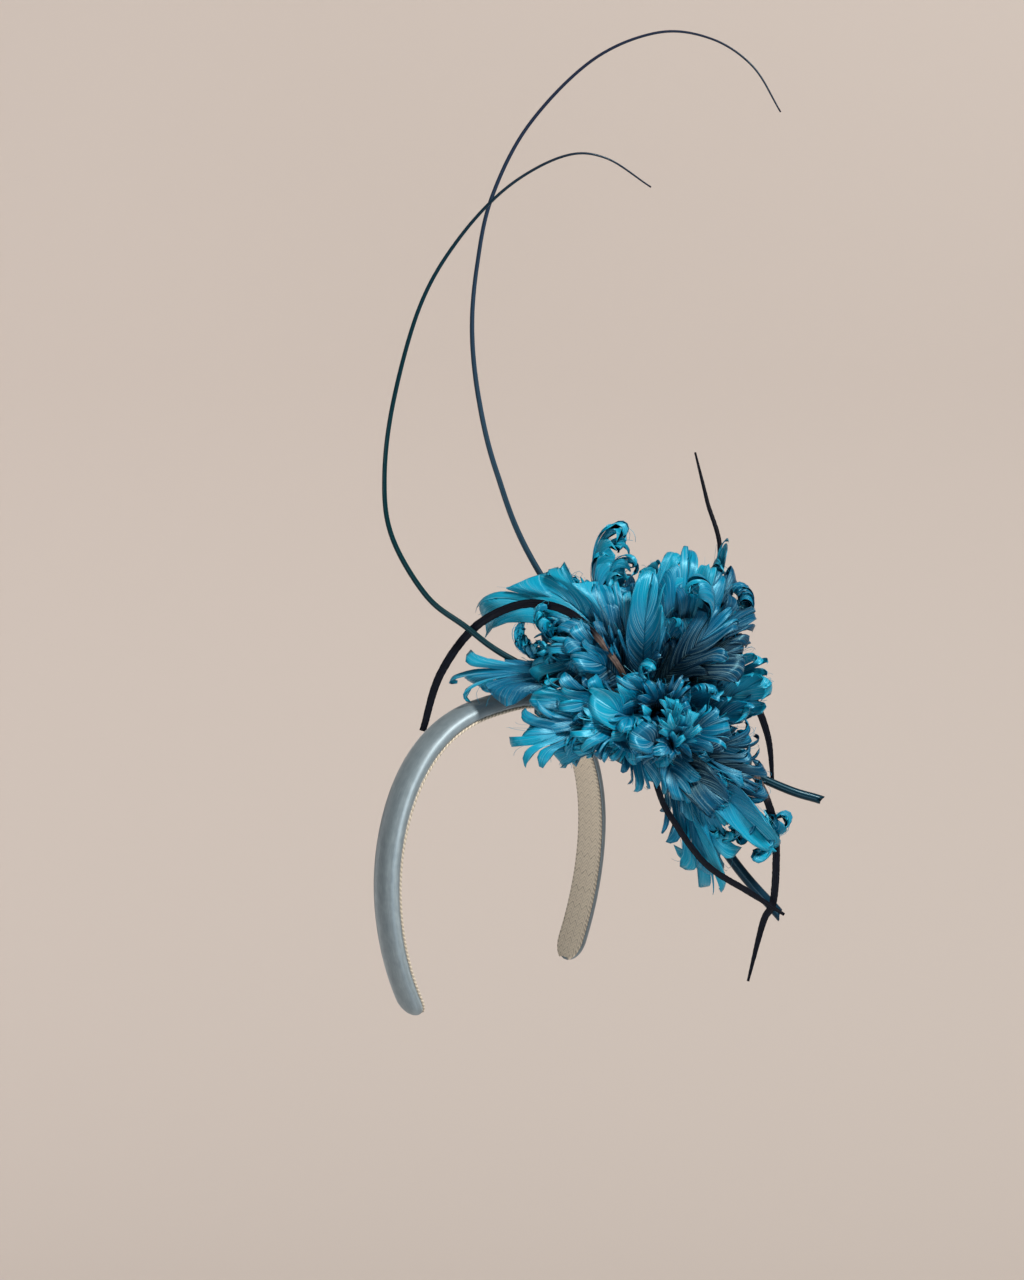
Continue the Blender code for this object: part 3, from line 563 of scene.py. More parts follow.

# Each bunch has a name, a hub in mm from the heart, and its feathers. across, up, near: farthest
# point reached, mm from the heart. width: mm. bow: degrees the shaft arches. curl: degrees the tip
# turns. roll: degrees about the shaft. sway: how far the shaft arches in the vane, as a share of
# its length. frizz: share of locks that curl tightly. tone: lighter above 0, darker below; partly each
# feather's own shade of dye, partly painted shade on feathers in the flower's dark gaps and painted light
# on those that face the light.
FEATHER_COLUMNS = ("across", "up", "near", "width", "bow", "curl", "roll", "sway", "frizz", "tone")
FEATHER_BUNCHES = (
    ("upper", (4, 10, 8), (
        (7, 68, 26, 19, 20, -30, -5, -0.05, 0, 0.3),
        (23, 83, 12, 21, 20, -30, 0, 0.07, 0, 0.4),
        (36, 74, 6, 19, 25, -50, 10, 0.05, 0.1, 0.1),
        (-4, 65, 0, 16, 20, -60, 0, 0, 0.1, -0.5),
        (-7, 75, 10, 13, -40, 200, 62, 0, 0.1, 0.5),
        (-7, 67, -6, 14, 0, -40, 0, 0, 0.1, -0.9),
        (28, 64, 34, 17, -50, 195, -66, 0, 0, 0.3),
        (20, 44, 36, 13, 20, 120, 25, 0, 0.2, 0.1),
        (42, 90, 4, 7, -10, 30, 20, 0.1, 0.2, 0.4),
        (50, 61, 10, 15, -50, 195, -66, 0, 0.1, -0.2),
        (58, 50, 4, 14, 15, -80, 10, -0.1, 0.1, -0.5),
        (57, 36, 10, 15, 15, -80, 10, -0.08, 0.2, -0.7),
        (44, 76, -4, 14, 20, -60, 10, 0.03, 0.2, -0.5),
        (44, 52, 18, 15, 15, -90, 0, 0, 0.2, -0.35),
        (10, 73, 22, 9, -10, 120, 20, 0, 0.1, 0.8),
        (19, 82, 16, 12, 15, -20, -10, -0.06, 0, 0.6),
    )),
    ("left", (-8, 13, 10), (
        (-59, 62, 4, 20, 25, -40, 0, 0.17, 0, 0.5),
        (-25, 65, 6, 18, 20, -50, 5, 0.08, 0, 0.3),
        (-30, 66, 4, 6, -10, 200, 80, 0, 0.9, 0.3),
        (-84, 52, 0, 14, 20, -30, 5, 0.19, 0.05, 0.7),
        (-64, 49, -4, 9, 20, -50, 20, 0.18, 0.05, 0.2),
        (-47, 52, 26, 8, -10, 220, 80, 0, 0.95, 0.4),
        (-44, 42, 26, 15, 30, -70, 20, 0.1, 0.3, 0),
        (-49, 31, 28, 14, 25, -80, 10, 0.15, 0.3, 0.1),
        (-36, 27, 34, 15, 25, -90, 10, 0.1, 0.2, 0),
        (-50, 38, 10, 15, 25, -50, 10, 0.1, 0.2, -0.7),
        (-58, 41, 18, 6, -20, 230, 80, 0, 0.9, 0.2),
        (-70, 25, 8, 8, 10, 200, 70, 0, 0.95, 0.1),
        (-97, 15, 10, 10, 20, -30, 10, 0.05, 0.2, 0.3),
        (-68, 15, 8, 12, 20, -60, 20, 0.05, 0.3, -0.4),
        (-56, 20, 20, 15, 20, -60, 10, 0.15, 0.2, 0.2),
        (-4, 91, 6, 12, -25, 120, 75, 0, 0.3, 0.6),
        (-18, 68, 0, 13, -10, 60, 50, 0, 0.1, 0.2),
        (-47, 60, 6, 18, 20, -40, -5, 0.15, 0, 0.4),
        (-8, 83, 4, 5, -20, 140, 70, 0, 0, 0.6),
        (-54, 37, 34, 8, 10, 60, 20, 0, 0.7, 0.4),
    )),
    ("crescent", (-8, 2, 22), (
        (-59, 8, 36, 15, 25, -60, 0, 0.03, 0.1, 0.3),
        (-52, -3, 42, 14, 25, -60, 8, -0.05, 0.25, 0.2),
        (-68, -9, 42, 15, 25, -60, 12, -0.1, 0.2, 0.4),
        (-48, -15, 42, 15, 20, -50, 0, -0.1, 0.25, 0.3),
        (-36, -17, 46, 13, 20, -60, -8, -0.08, 0.3, 0.3),
        (-25, -21, 46, 11, 20, 60, 5, 0.1, 0.3, 0.3),
        (-15, -23, 44, 11, 20, -70, -10, -0.1, 0.3, 0.3),
        (-36, -6, 50, 15, 25, -80, 5, -0.12, 0.2, 0.3),
        (-24, -10, 54, 13, 25, 60, -10, 0.1, 0.25, 0.2),
        (-12, -12, 52, 13, 20, -90, 8, -0.12, 0.3, 0.3),
        (-1, -24, 40, 13, 15, -70, 0, 0.05, 0.25, 0),
        (10, -36, 30, 14, 15, -60, 0, 0.05, 0.3, -0.1),
        (-42, 5, 46, 14, 20, -60, -5, 0.1, 0.25, 0.2),
    )),
    ("centre", (4, 2, 20), (
        (-25, 13, 48, 22, 30, -70, 0, -0.12, 0, 0.5),
        (4, 25, 46, 11, -20, 200, 60, 0, 0.2, 0.5),
        (0, 17, 48, 14, 20, -70, 10, 0.1, 0.1, -0.3),
        (-8, -4, 50, 14, 20, -80, -10, -0.12, 0.25, 0.3),
        (-14, 21, 46, 14, 25, -70, 0, 0.1, 0.25, 0.2),
        (6, -13, 44, 14, 15, -80, 5, 0.05, 0.2, 0.1),
        (20, 20, 44, 13, 20, -80, 0, 0.08, 0.1, -0.5),
        (24, 10, 42, 14, 20, -80, 0, 0.08, 0.1, -0.5),
    )),
    ("rosette", (14, -10, 36), (
        (10, 13, 55, 5, 10, -30, 0, 0.05, 0.1, 0.8),
        (17, 9, 56, 5, 10, -30, 10, -0.05, 0.1, 0.8),
        (23, 5, 53, 5, 10, -40, 0, 0.1, 0.1, 0.8),
        (27, -3, 51, 6, 10, -40, 0, 0.1, 0.1, 0.5),
        (-7, -5, 54, 15, 25, -90, 0, -0.12, 0.05, 0),
        (4, -15, 52, 10, 20, -80, 0, -0.1, 0.05, 0),
        (7, -1, 56, 9, 20, -60, 0, 0.1, 0.1, 0.5),
        (20, -8, 53, 8, 20, -60, 0, 0.1, 0.2, 0.2),
    )),
    ("right", (8, -4, 12), (
        (68, 17, 16, 26, -25, 55, 30, 0.08, 0.15, 0.5),
        (63, 28, 8, 22, -25, 55, 30, 0.05, 0.15, 0.4),
        (56, 6, 22, 20, -20, 55, 20, 0.1, 0.2, 0.2),
        (44, 28, 26, 18, -15, 90, 30, 0, 0.2, 0.2),
        (34, 12, 36, 13, -15, 190, 60, 0, 0.2, 0.3),
        (44, 1, 34, 16, 15, -60, 0, 0.1, 0.2, 0.1),
        (32, -6, 36, 14, 10, 120, 50, 0, 0.2, 0.1),
    )),
    ("lower", (8, -8, 8), (
        (61, -9, 10, 14, 15, -60, 20, 0.05, 0.3, -0.4),
        (67, -38, 4, 15, 15, -50, 20, 0.08, 0.2, -0.3),
        (72, -51, 4, 6, -25, 170, -80, 0, 0.3, 0.4),
        (65, -64, 4, 20, 20, -40, 10, -0.04, 0, 0.4),
        (44, -42, 16, 18, 25, -50, 0, 0.05, 0.05, -0.4),
        (38, -67, 6, 15, 25, -40, -5, -0.05, 0, 0.3),
        (41, -88, -2, 16, 20, -30, 0, 0, 0.1, 0.5),
        (36, -85, -4, 9, 20, -30, 0, -0.04, 0, 0.2),
        (46, -57, 14, 8, -10, 220, -70, 0, 0.5, 0.3),
        (61, -66, 8, 8, -10, 230, 75, 0, 0.3, 0.3),
        (9, -29, 32, 13, 15, -100, 0, 0, 0.4, 0),
        (22, -42, 20, 15, 20, -60, 0, 0, 0.05, 0.1),
        (47, -38, 16, 18, 20, -50, 10, 0.05, 0.1, 0.1),
        (65, -28, 12, 16, 15, -60, 10, 0.05, 0.2, -0.6),
        (49, -61, 2, 6, -10, 160, 70, 0, 0.4, 0.1),
    )),
    ("far_side", (2, 4, -8), (
        (-48, 48, -16, 18, 30, 60, 0, 0.1, 0.3, 0),
        (-20, 62, -24, 19, 25, 70, 0, 0.05, 0.1, 0.1),
        (12, 66, -28, 20, 25, 70, 0, 0, 0, 0.2),
        (38, 56, -26, 19, 25, 70, 0, 0.05, 0.2, 0),
        (54, 24, -24, 19, 25, 70, 0, 0.05, 0.1, 0.1),
        (56, -14, -20, 18, 20, 70, 0, 0.05, 0.3, 0),
        (46, -46, -12, 18, 20, 60, 0, 0.05, 0.1, 0.1),
        (-34, 26, -30, 17, 20, 80, 0, 0.1, 0.3, 0),
        (-4, 38, -40, 18, 20, 80, 0, 0, 0, 0.2),
        (26, 32, -42, 18, 20, 80, 0, 0, 0.2, 0.1),
        (40, 2, -38, 17, 20, 80, 0, 0, 0.3, 0),
    )),
)


def shaft_line(bow, curl):
    """A shaft in its own plane: along, aside and direction, one unit from root to farthest point.

    The direction turns evenly by bow, then by curl as the 1.5th power of the way past its start.
    """
    fine = np.linspace(0.0, 1.0, 121)
    start = CURL_START + abs(curl) * CURL_DELAY
    past = np.clip((fine - start) / (1.0 - start), 0.0, 1.0)
    angle = np.radians(bow) * (0.5 - fine) + np.radians(curl) * past ** 1.5
    along = np.r_[0.0, np.cumsum(np.cos(angle))[:-1]]
    aside = np.r_[0.0, np.cumsum(np.sin(angle))[:-1]]
    far = int(np.argmax(along ** 2 + aside ** 2))
    reach = math.hypot(along[far], aside[far])
    lean = math.atan2(aside[far], along[far])
    return np.stack((
        fine,
        (along * math.cos(lean) + aside * math.sin(lean)) / reach,
        (aside * math.cos(lean) - along * math.sin(lean)) / reach,
        angle - lean,
    ))


def barb(spot, step, width):
    """Where a barb runs: its share of the way along the feather and its distance from the shaft.

    spot is the barb's place in its row, 0 at the root and 1 at the tip. Its end lies on the vane's
    outline, an oval beyond 0.58 of the length, and it nears it along a quarter sine, with a
    belly that is greatest between the root and the tip.
    """
    root = FIRST_ROOT + (LAST_ROOT - FIRST_ROOT) * spot
    end = FIRST_END + (1.0 - FIRST_END) * (1.0 - np.clip(1.0 - spot, 0.0, 1.0) ** 1.35)
    share = root + (end - root) * step ** 1.1
    swell = np.minimum(1.0, 0.5 + 0.9 * end)
    rim = swell * np.sqrt(np.clip(1.0 - np.clip((end - 0.58) / 0.42, 0.0, 1.0) ** 2.2, 0.0, 1.0))
    belly = 0.3 * np.sin(math.pi * np.clip(spot, 0.0, 1.0)) * np.sin(math.pi * step) * (1.0 - 0.5 * rim)
    return share, width / 2 * (rim * np.sin(step * math.pi / 2) ** 0.9 + belly)


def feather(hub, size, seed):
    """Locks and strands of a feather: for each, rings of points, with uv and tone.

    A point of the vane lies at a share of the shaft and a distance to its side. The shaft is a
    planar curve that sways in the vane as a parabola, and the vane bends round it as a cylinder,
    so that its edges lift. The vane is split into locks, which draw together towards their ends and
    lie a little over or under it. Each lock then curls out of the vane and swerves in it: its
    direction turns by two angles.
    """
    rng = np.random.default_rng(seed)
    tip = HEART + (size["across"], size["up"], size["near"])
    reach = np.linalg.norm(tip - hub)
    ahead = (tip - hub) / reach
    toward = unit(np.array((0.0, 0.0, 1.0)) - ahead * ahead[2])
    roll = math.radians(size["roll"])
    aside = toward * math.cos(roll) + np.cross(ahead, toward) * math.sin(roll)
    across = np.cross(ahead, aside)
    line = shaft_line(size["bow"], size["curl"])
    width = size["width"]
    sway = size["sway"]
    frizz = size["frizz"]

    def surface(share, offset):
        """Place and normal of the vane at a share along it and a distance to the side, in mm."""
        along, sideways, angle = (np.interp(share, line[0], row) for row in line[1:])
        flow = np.cos(angle)[..., None] * ahead + np.sin(angle)[..., None] * aside
        normal = np.cross(across, flow)
        veer = np.arctan(4 * sway * (1.0 - 2 * share))[..., None]
        beside = np.cos(veer) * across - np.sin(veer) * flow
        bend = CAMBER / (width / 2)
        turn = (offset * bend)[..., None]
        place = (
            hub
            + reach * (along[..., None] * ahead + sideways[..., None] * aside)
            + reach * (4 * sway * share * (1.0 - share))[..., None] * across
            + np.sin(turn) / bend * beside
            + (1.0 - np.cos(turn)) / bend * normal
        )
        return place, normal * np.cos(turn) - beside * np.sin(turn)

    def curled(side, lane, middle, step, draw, angle, swerve, begin, lag, layer):
        """Places, normals and shares of barbs, in axes of lock, lane and step.

        Lanes draw towards the lock's middle lane by draw step^2. The direction turns in the vane by
        swerve step^3. From begin on it turns by angle past^1.3 towards the normal, over a slight
        wave. The places are the sum of the turned hops.
        """
        lane = middle + (lane[..., None] - middle) * (1.0 - draw * step ** 2)
        share, offset = barb(lane, step, width)
        place, normal = surface(share + lag * step ** 2, side * offset)
        place = place + normal * (layer * step ** 1.5)[..., None]
        hop = np.diff(place, axis=2)
        far = np.linalg.norm(hop, axis=-1, keepdims=True)
        flow = hop / np.maximum(far, 1e-9)
        lean = (swerve * step ** 3)[:, :, 1:, None]
        flow = np.cos(lean) * flow + np.sin(lean) * np.cross(normal[:, :, 1:], flow)
        wave = 0.25 * np.sin(angle * 5.0 + 5.0 * step) * step
        turn = (angle * np.clip((step - begin) / (1.0 - begin), 0.0, 1.0) ** 1.3 + wave)[..., None]
        turned = np.cos(turn[:, :, 1:]) * flow + np.sin(turn[:, :, 1:]) * normal[:, :, 1:]
        place = np.concatenate((place[:, :, :1], place[:, :, :1] + np.cumsum(turned * far, axis=2)), axis=2)
        flow = np.concatenate((flow[:, :, :1], flow), axis=2)
        return place, unit(normal * np.cos(turn) - flow * np.sin(turn)), share

    def marks(share, lane, side, shade):
        """Tone and uv of the points: painted shade at the roots, deep in the flower, that lightens towards
        the tip, and lane and share times the length.
        """
        # Painted shade: run darkens the roots, which lie in the flower's shadow, and lightens the tips.
        run = 0.65 * np.clip(share * 1.5 - 0.8, -0.6, 0.45)
        # The feather's tone is partly painted shade and painted light for where it lies in the flower.
        tone = size["tone"] * 0.5 - 0.02 + run + shade
        return tone, stacked(lane[..., None], share + 0.2 * side) * reach / 100

    # Locks: sheets of several lanes, wide where the vane is smooth and narrow where it is curly.
    cuts = []
    for _ in (0, 1):
        splits = rng.integers(1, 4) + int(MOST_SPLITS * frizz)
        cuts.append(np.r_[0.0, np.sort(rng.uniform(0.06, 0.94, splits)), 1.0])
    first = np.concatenate([cut[:-1] for cut in cuts])[:, None]
    last = np.concatenate([cut[1:] for cut in cuts])[:, None]
    number = len(first)
    side = np.repeat((-1.0, 1.0), [len(cut) - 1 for cut in cuts])[:, None, None]
    lane = first - LOCK_OVERLAP + (last - first + 2 * LOCK_OVERLAP) * LOCK_COLUMNS
    column = (number, 1, 1)
    curly = rng.uniform(0.0, 1.0, column) < frizz
    common = rng.uniform(25.0, 80.0) + 250.0 * frizz
    facing = math.copysign(1.0, size["curl"])
    rim = common + rng.uniform(-30.0, 45.0, column)
    drift = rng.normal(0.0, 0.08 + 0.5 * frizz)
    angle = np.radians(np.where(curly, rng.uniform(170.0, 420.0, column), rim)) * facing
    early = rng.uniform(0.35, 0.6, column)
    late = rng.uniform(0.56, 0.72) + rng.uniform(-0.03, 0.03, column)
    step = np.linspace(0.0, 1.0, BARB_STEPS)
    at_tip = (last == 1.0)[..., None]
    rise = np.clip(1.0 - 2 * LOCK_COLUMNS, 0.0, 1.0) ** 1.8 * (first > 0.0)
    fall = np.clip(2 * LOCK_COLUMNS - 1.0, 0.0, 1.0) ** 1.8 * (last < 1.0)
    uneven = rng.uniform(0.96 - 0.1 * frizz, 1.0, lane.shape)
    rounded = ((1.0 - (0.2 + 0.4 * frizz) * (rise + fall)) * uneven)[..., None]
    hook = rng.normal(0.0, 0.1 + 0.5 * frizz, column)
    hook = hook - side * rng.uniform(0.1, 0.3 + min(5.0 * frizz, 1.6), column)
    lag = rng.uniform(-0.04, 0.02, column) * (0.3 + frizz) * ~at_tip
    place, normal, share = curled(
        side, lane, np.where(at_tip, 1.0, ((first + last) / 2)[..., None]), step * rounded,
        np.minimum(np.where(curly, 0.6, 0.05 + 0.9 * frizz) + 0.7 * step ** 6, 0.95),
        angle * (0.5 + 0.5 * lane[..., None]), drift + hook * ~at_tip,
        np.where(curly, early, late), lag, rng.uniform(-0.5, 0.5, column),
    )
    tone, uv = marks(share, lane, side, rng.uniform(-0.15, 0.15, column))
    swell = np.sin(math.pi * LOCK_COLUMNS)
    dome = (0.3 * swell + 0.05 * rng.normal(0.0, 1.0, lane.shape))[..., None, None]
    edge = (np.minimum(1.0, 4 * swell) * LOCK_THICKNESS / 2)[None, :, None, None]
    over = place + normal * (dome + edge)
    under = place + normal * (dome - edge)
    locks = [
        np.concatenate((one, other[:, ::-1]), axis=1).swapaxes(1, 2)
        for one, other in ((over, under), (uv, uv), (tone, tone))
    ]

    # Strands: loose barbs that stray out of the locks, and the shaft.
    spot = rng.uniform(0.1, 1.0, (STRAY_BARBS, 1))
    column = (STRAY_BARBS, 1, 1)
    side = np.where(rng.uniform(0.0, 1.0, column) < 0.5, 1.0, -1.0)
    angle = np.radians(common + rng.uniform(-70.0, 50.0, column)) * facing
    long = rng.uniform(0.75, 1.06, column)
    lane = spot + np.array((-0.2, 0.0, 0.2)) / reach
    place, normal, share = curled(
        side, lane, spot[..., None], long * step * np.ones((1, 3, 1)), 0.5, angle,
        drift + rng.normal(0.0, 0.3, column), rng.uniform(0.5, 0.7, column),
        rng.uniform(-0.02, 0.02, column), rng.uniform(-0.5, 0.5, column),
    )
    tone, uv = marks(share, lane, side, 0.25)
    ridge = normal[:, 1] * STRAY_GIRTH
    rings = np.stack((place[:, 0], place[:, 1] + ridge, place[:, 2], place[:, 1] - ridge), axis=2)
    shares = np.linspace(0.0, LAST_ROOT + 0.04, BARB_STEPS)
    spine, spine_normal = surface(shares, np.zeros(BARB_STEPS))
    girth = (SHAFT_GIRTH * (1.0 - shares / (LAST_ROOT + 0.07)) + 0.08)[:, None]
    spine = spine - spine_normal * girth * 0.3
    shaft = np.stack((
        spine - across * girth, spine + spine_normal * girth * 0.8,
        spine + across * girth, spine - spine_normal * girth * 0.8,
    ), axis=1)[None]
    shaft_tone = np.full((1, BARB_STEPS, 4), size["tone"] * 0.4 - 0.1)
    strands = [
        np.concatenate((rings, shaft)),
        np.concatenate((uv[:, [0, 1, 2, 1]].swapaxes(1, 2), np.zeros((1, BARB_STEPS, 4, 2)))),
        np.concatenate((tone[:, [0, 1, 2, 1]].swapaxes(1, 2), shaft_tone)),
    ]
    return locks, strands


def blade_faces(blades, steps, around):
    """Quads of closed blades of steps rings, with the flat ring at each end closed by a strip."""
    skin = skin_faces(steps, around)
    near = np.arange(around // 2 - 1)
    start = np.stack((near, near + 1, around - 2 - near, around - 1 - near), axis=1)
    last = (steps - 1) * around
    one = np.vstack((skin, start[:, ::-1], start + last))
    return (one[None] + (np.arange(blades) * steps * around)[:, None, None]).reshape(-1, 4)


# Dyed goose feather: keratin barbs that shine softly along their length, peacock teal, with painted shade
# deepening it to navy at the roots, deep in the flower. Sparse pale lines along the barbs are painted
# highlights.
# Barbs are 0.1 mm apart and are drawn about 0.5 mm apart, so that they show.
plume, tree, shader = new_material("dyed goose feather", {
    "Roughness": 0.34, "Anisotropic": 0.6, "Specular IOR Level": 0.55,
    "Specular Tint": linear("#98e0f4"),
})
place = add_node(tree, "UVMap").outputs[0]
fine = streaks(tree, place, (125.0, 7.0, 1.0), 3.0, 0.65)
broad = streaks(tree, place, (42.0, 3.0, 1.0), 2.0)
halved = add_node(tree, "Math", {0: broad, 1: 0.5}, operation="MULTIPLY").outputs[0]
barbs = add_node(tree, "Math", {0: fine, 1: 0.5, 2: halved}, operation="MULTIPLY_ADD").outputs[0]
depth = add_node(tree, "Attribute", attribute_name="tone").outputs["Fac"]
mixed = add_node(tree, "Math", {0: barbs, 1: 1.1, 2: depth}, operation="MULTIPLY_ADD").outputs[0]
stops = ((0.0, "#000a14"), (0.3, "#002440"), (0.6, "#005378"), (0.85, "#00769c"), (1.0, "#0a8eb0"))
# Painted highlights: sparse pale lines mixed into the colour, standing for light caught on single barbs.
painted_highlight_lines = streaks(tree, place, (170.0, 3.0, 1.0), 1.0)
inputs = {
    0: ramp(tree, painted_highlight_lines, ((0.57, "#000000"), (0.7, "#b4b4b4"))),
    6: ramp(tree, mixed, stops),
    7: linear("#a4d8e6"),
}
shade = add_node(tree, "Mix", inputs, data_type="RGBA")
tree.links.new(shade.outputs[2], shader.inputs["Base Color"])
raised(tree, shader, barbs, 0.6, 0.0005)
weave = add_node(tree, "Tangent", direction_type="UV_MAP")
tree.links.new(weave.outputs[0], shader.inputs["Tangent"])

for number, (bunch, hub, rows) in enumerate(FEATHER_BUNCHES):
    parts = [
        feather(HEART + hub, dict(zip(FEATHER_COLUMNS, row)), 100 * number + place_in_row)
        for place_in_row, row in enumerate(rows)
    ]
    points, faces, uvs, tones = [], [], [], []
    start = 0
    for kind in (0, 1):
        rings, uv, tone = (np.concatenate([part[kind][k] for part in parts]) for k in range(3))
        blades, steps, around = rings.shape[:3]
        points.append(rings.reshape(-1, 3))
        faces.append(blade_faces(blades, steps, around) + start)
        uvs.append(uv.reshape(-1, 2))
        tones.append(tone.ravel())
        start += blades * steps * around
    piece = add_mesh(
        f"feathers_{bunch}", laid(np.vstack(points)), np.vstack(faces), plume,
        np.vstack(uvs), np.concatenate(tones),
    )
    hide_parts("feather_flower")
    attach(piece, "root")


# Heart of the flower. The bound roots are covered by a ball of down in the dark felt colour, as matt as the
# felt, which fills the gaps between the bunches with painted shade.
CORE_OFFSET = (1.0, 3.0, 8.0)
CORE_HALF = (15.0, 15.0, 20.0)


def down_ball():
    """An ellipsoid from pole to pole whose radius is roughened by soft noise."""
    rise = np.linspace(0.02, math.pi - 0.02, 40)[:, None]
    turn = np.linspace(0.0, 2 * math.pi, 64, endpoint=False)[None, :]
    ball = stacked(np.sin(rise) * np.cos(turn), np.sin(rise) * np.sin(turn), np.cos(rise))
    rough = 1.0 + 0.05 * soft_noise(ball[..., 0] * 9, ball[..., 1] * 9 + ball[..., 2] * 7, 3)
    points = HEART + CORE_OFFSET + ball * CORE_HALF * rough[..., None]
    return laid(points), stacked(turn, rise), np.full(rough.shape, -0.5)


heart = add_skins("down_heart", [down_ball()], felt)
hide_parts("feather_flower")
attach(heart, "root")


# Long quills. Each is one stripped tail quill, steamed into an arc and dyed, with its butt cut
# across and left hollow. It thins evenly to a hair at its tip.
QUILL_STEP = 1.6
QUILL_SIDES = 16
QUILL_BORE = 14.0  # mm that the cut butt is hollow
QUILL_WALL = 0.5
QUILL_TALL = (
    # across, up, near, thickness (mm), from the butt to the tip
    (136.3, -96.7, -14, 5.2),
    (112.0, -68.2, -11, 5.0),
    (68.9, -3.9, -6, 4.0),
    (20.3, 69.0, -8, 2.9),
    (2.4, 112.2, -10, 2.6),
    (-6.1, 146.8, -12, 2.4),
    (-9.4, 180.0, -14, 2.2),
    (-6.9, 211.9, -17, 2.0),
    (0.0, 243.7, -20, 1.9),
    (17.4, 278.1, -24, 1.7),
    (47.5, 309.3, -28, 1.5),
    (78.5, 322.8, -30, 1.3),
    (104.0, 320.1, -30, 1.1),
    (124.0, 306.8, -29, 1.0),
    (137.3, 284.7, -27, 0.8),
)
QUILL_LOW = (
    (155.6, -42.0, -6, 4.2),
    (132.4, -34.0, -4, 4.1),
    (68.6, -3.7, 4, 3.6),
    (10.4, 24.0, 14, 3.0),
    (-12.4, 39.9, 19, 2.8),
    (-30.5, 54.3, 23, 2.6),
    (-46.3, 81.7, 28, 2.4),
    (-49.6, 109.1, 31, 2.2),
    (-45.3, 144.5, 33, 2.1),
    (-33.1, 188.1, 33, 1.9),
    (-16.0, 218.3, 31, 1.7),
    (7.1, 243.4, 28, 1.4),
    (33.2, 258.3, 24, 1.2),
    (52.8, 258.0, 21, 1.0),
    (74.3, 244.7, 17, 0.8),
)


def smooth_path(rows, step):
    """Rows joined by a Catmull-Rom curve, read at even steps of length: points and lengths."""
    rows = np.asarray(rows, float)
    ends = np.vstack((2 * rows[0] - rows[1], rows, 2 * rows[-1] - rows[-2]))
    share = np.linspace(0.0, 1.0, 40, endpoint=False)[None, :, None]
    before, start, end, after = (ends[k:k + len(rows) - 1][:, None] for k in range(4))
    fine = 0.5 * (
        2 * start + (end - before) * share
        + (2 * before - 5 * start + 4 * end - after) * share ** 2
        + (3 * start - before - 3 * end + after) * share ** 3
    )
    fine = np.vstack((fine.reshape(-1, rows.shape[1]), rows[-1]))
    length = line_length(fine[:, :3])
    wanted = np.linspace(0.0, length[-1], int(length[-1] / step))
    return read_at(wanted, length, fine), wanted


def quill(rows, slant, notch):
    """A tapering tube: up the bore, round the cut butt, and along to the tip.

    The section is round with a shallow groove along it. The butt is cut on a slant, and the cut
    dips into a notch on one side: ahead = slant cos(turn) + notch exp(-(turn/0.5)^2).
    """
    path, at = smooth_path(rows, QUILL_STEP)
    centre = path[:, None, :3]
    ahead, side, up = axes_along(path[:, :3], (0.0, 0.0, 1.0))
    turn = np.linspace(0.0, 2 * math.pi, QUILL_SIDES, endpoint=False)[None, :, None]
    groove = 1.0 - 0.1 * np.exp(-((turn - 4.2) / 0.35) ** 2)
    radius = path[:, 3][:, None, None] / 2 * groove
    spoke = side * np.cos(turn) + up * np.sin(turn)
    outer = centre + radius * spoke
    wall = np.maximum(1.0 - QUILL_WALL / radius, 0.1)
    inner = centre + radius * wall * spoke
    cut = slant * np.cos(turn) + notch * np.exp(-((turn - 1.6) / 0.5) ** 2)
    fade = np.exp(-(at / 3.0) ** 2)[:, None, None]
    outer = outer + ahead * cut * fade
    inner = inner + ahead * cut * fade
    deep = int(QUILL_BORE / QUILL_STEP)
    rings = np.concatenate((inner[deep::-1], outer))
    run = np.r_[at[deep::-1], at]
    uv = stacked(turn[..., 0] / (2 * math.pi), run[:, None] / at[-1])
    return laid(rings), uv, np.broadcast_to(run[:, None] / at[-1], rings.shape[:2])


def keratin(name, colours):
    """Dyed keratin: a hard gloss over 26 fine lengthwise ridges, its colour running root to tip."""
    made, tree, shader = new_material(name, {
        "Roughness": 0.34, "IOR": 1.54, "Specular IOR Level": 0.3, "Coat Weight": 0.05,
        "Specular Tint": linear("#8fc4dc"),
    })
    run = add_node(tree, "Attribute", attribute_name="tone").outputs["Fac"]
    ridges = streaks(tree, add_node(tree, "UVMap").outputs[0], (26.0, 9.0, 1.0))
    stops = [(index / (len(colours) - 1), colour) for index, colour in enumerate(colours)]
    inputs = {
        "Factor": 0.6,
        6: ramp(tree, run, stops),
        7: ramp(tree, ridges, ((0.35, "#5a6a78"), (0.6, "#ffffff"))),
    }
    shade = add_node(tree, "Mix", inputs, data_type="RGBA", blend_type="MULTIPLY")
    tree.links.new(shade.outputs[2], shader.inputs["Base Color"])
    raised(tree, shader, ridges, 0.3, 0.0001)
    return made


QUILLS = (
    # node, rows, slant and notch of the cut (mm), finish's slot and name, colours from butt to tip
    ("quill_tall", QUILL_TALL, 1.6, 0.8, "slate_quill", "slate dyed keratin",
     ("#0c2f44", "#1f3d4f", "#283d50", "#222a40", "#1d192c")),
    ("quill_low", QUILL_LOW, -0.6, 2.4, "teal_quill", "teal dyed keratin",
     ("#022838", "#03282f", "#042d33", "#0e2c38", "#1d192c")),
)
for node, rows, slant, notch, slot, name, colours in QUILLS:
    piece = add_skins(node + "_stripped", [quill(rows, slant, notch)], keratin(name, colours))
    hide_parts(node)
    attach(piece, "root")


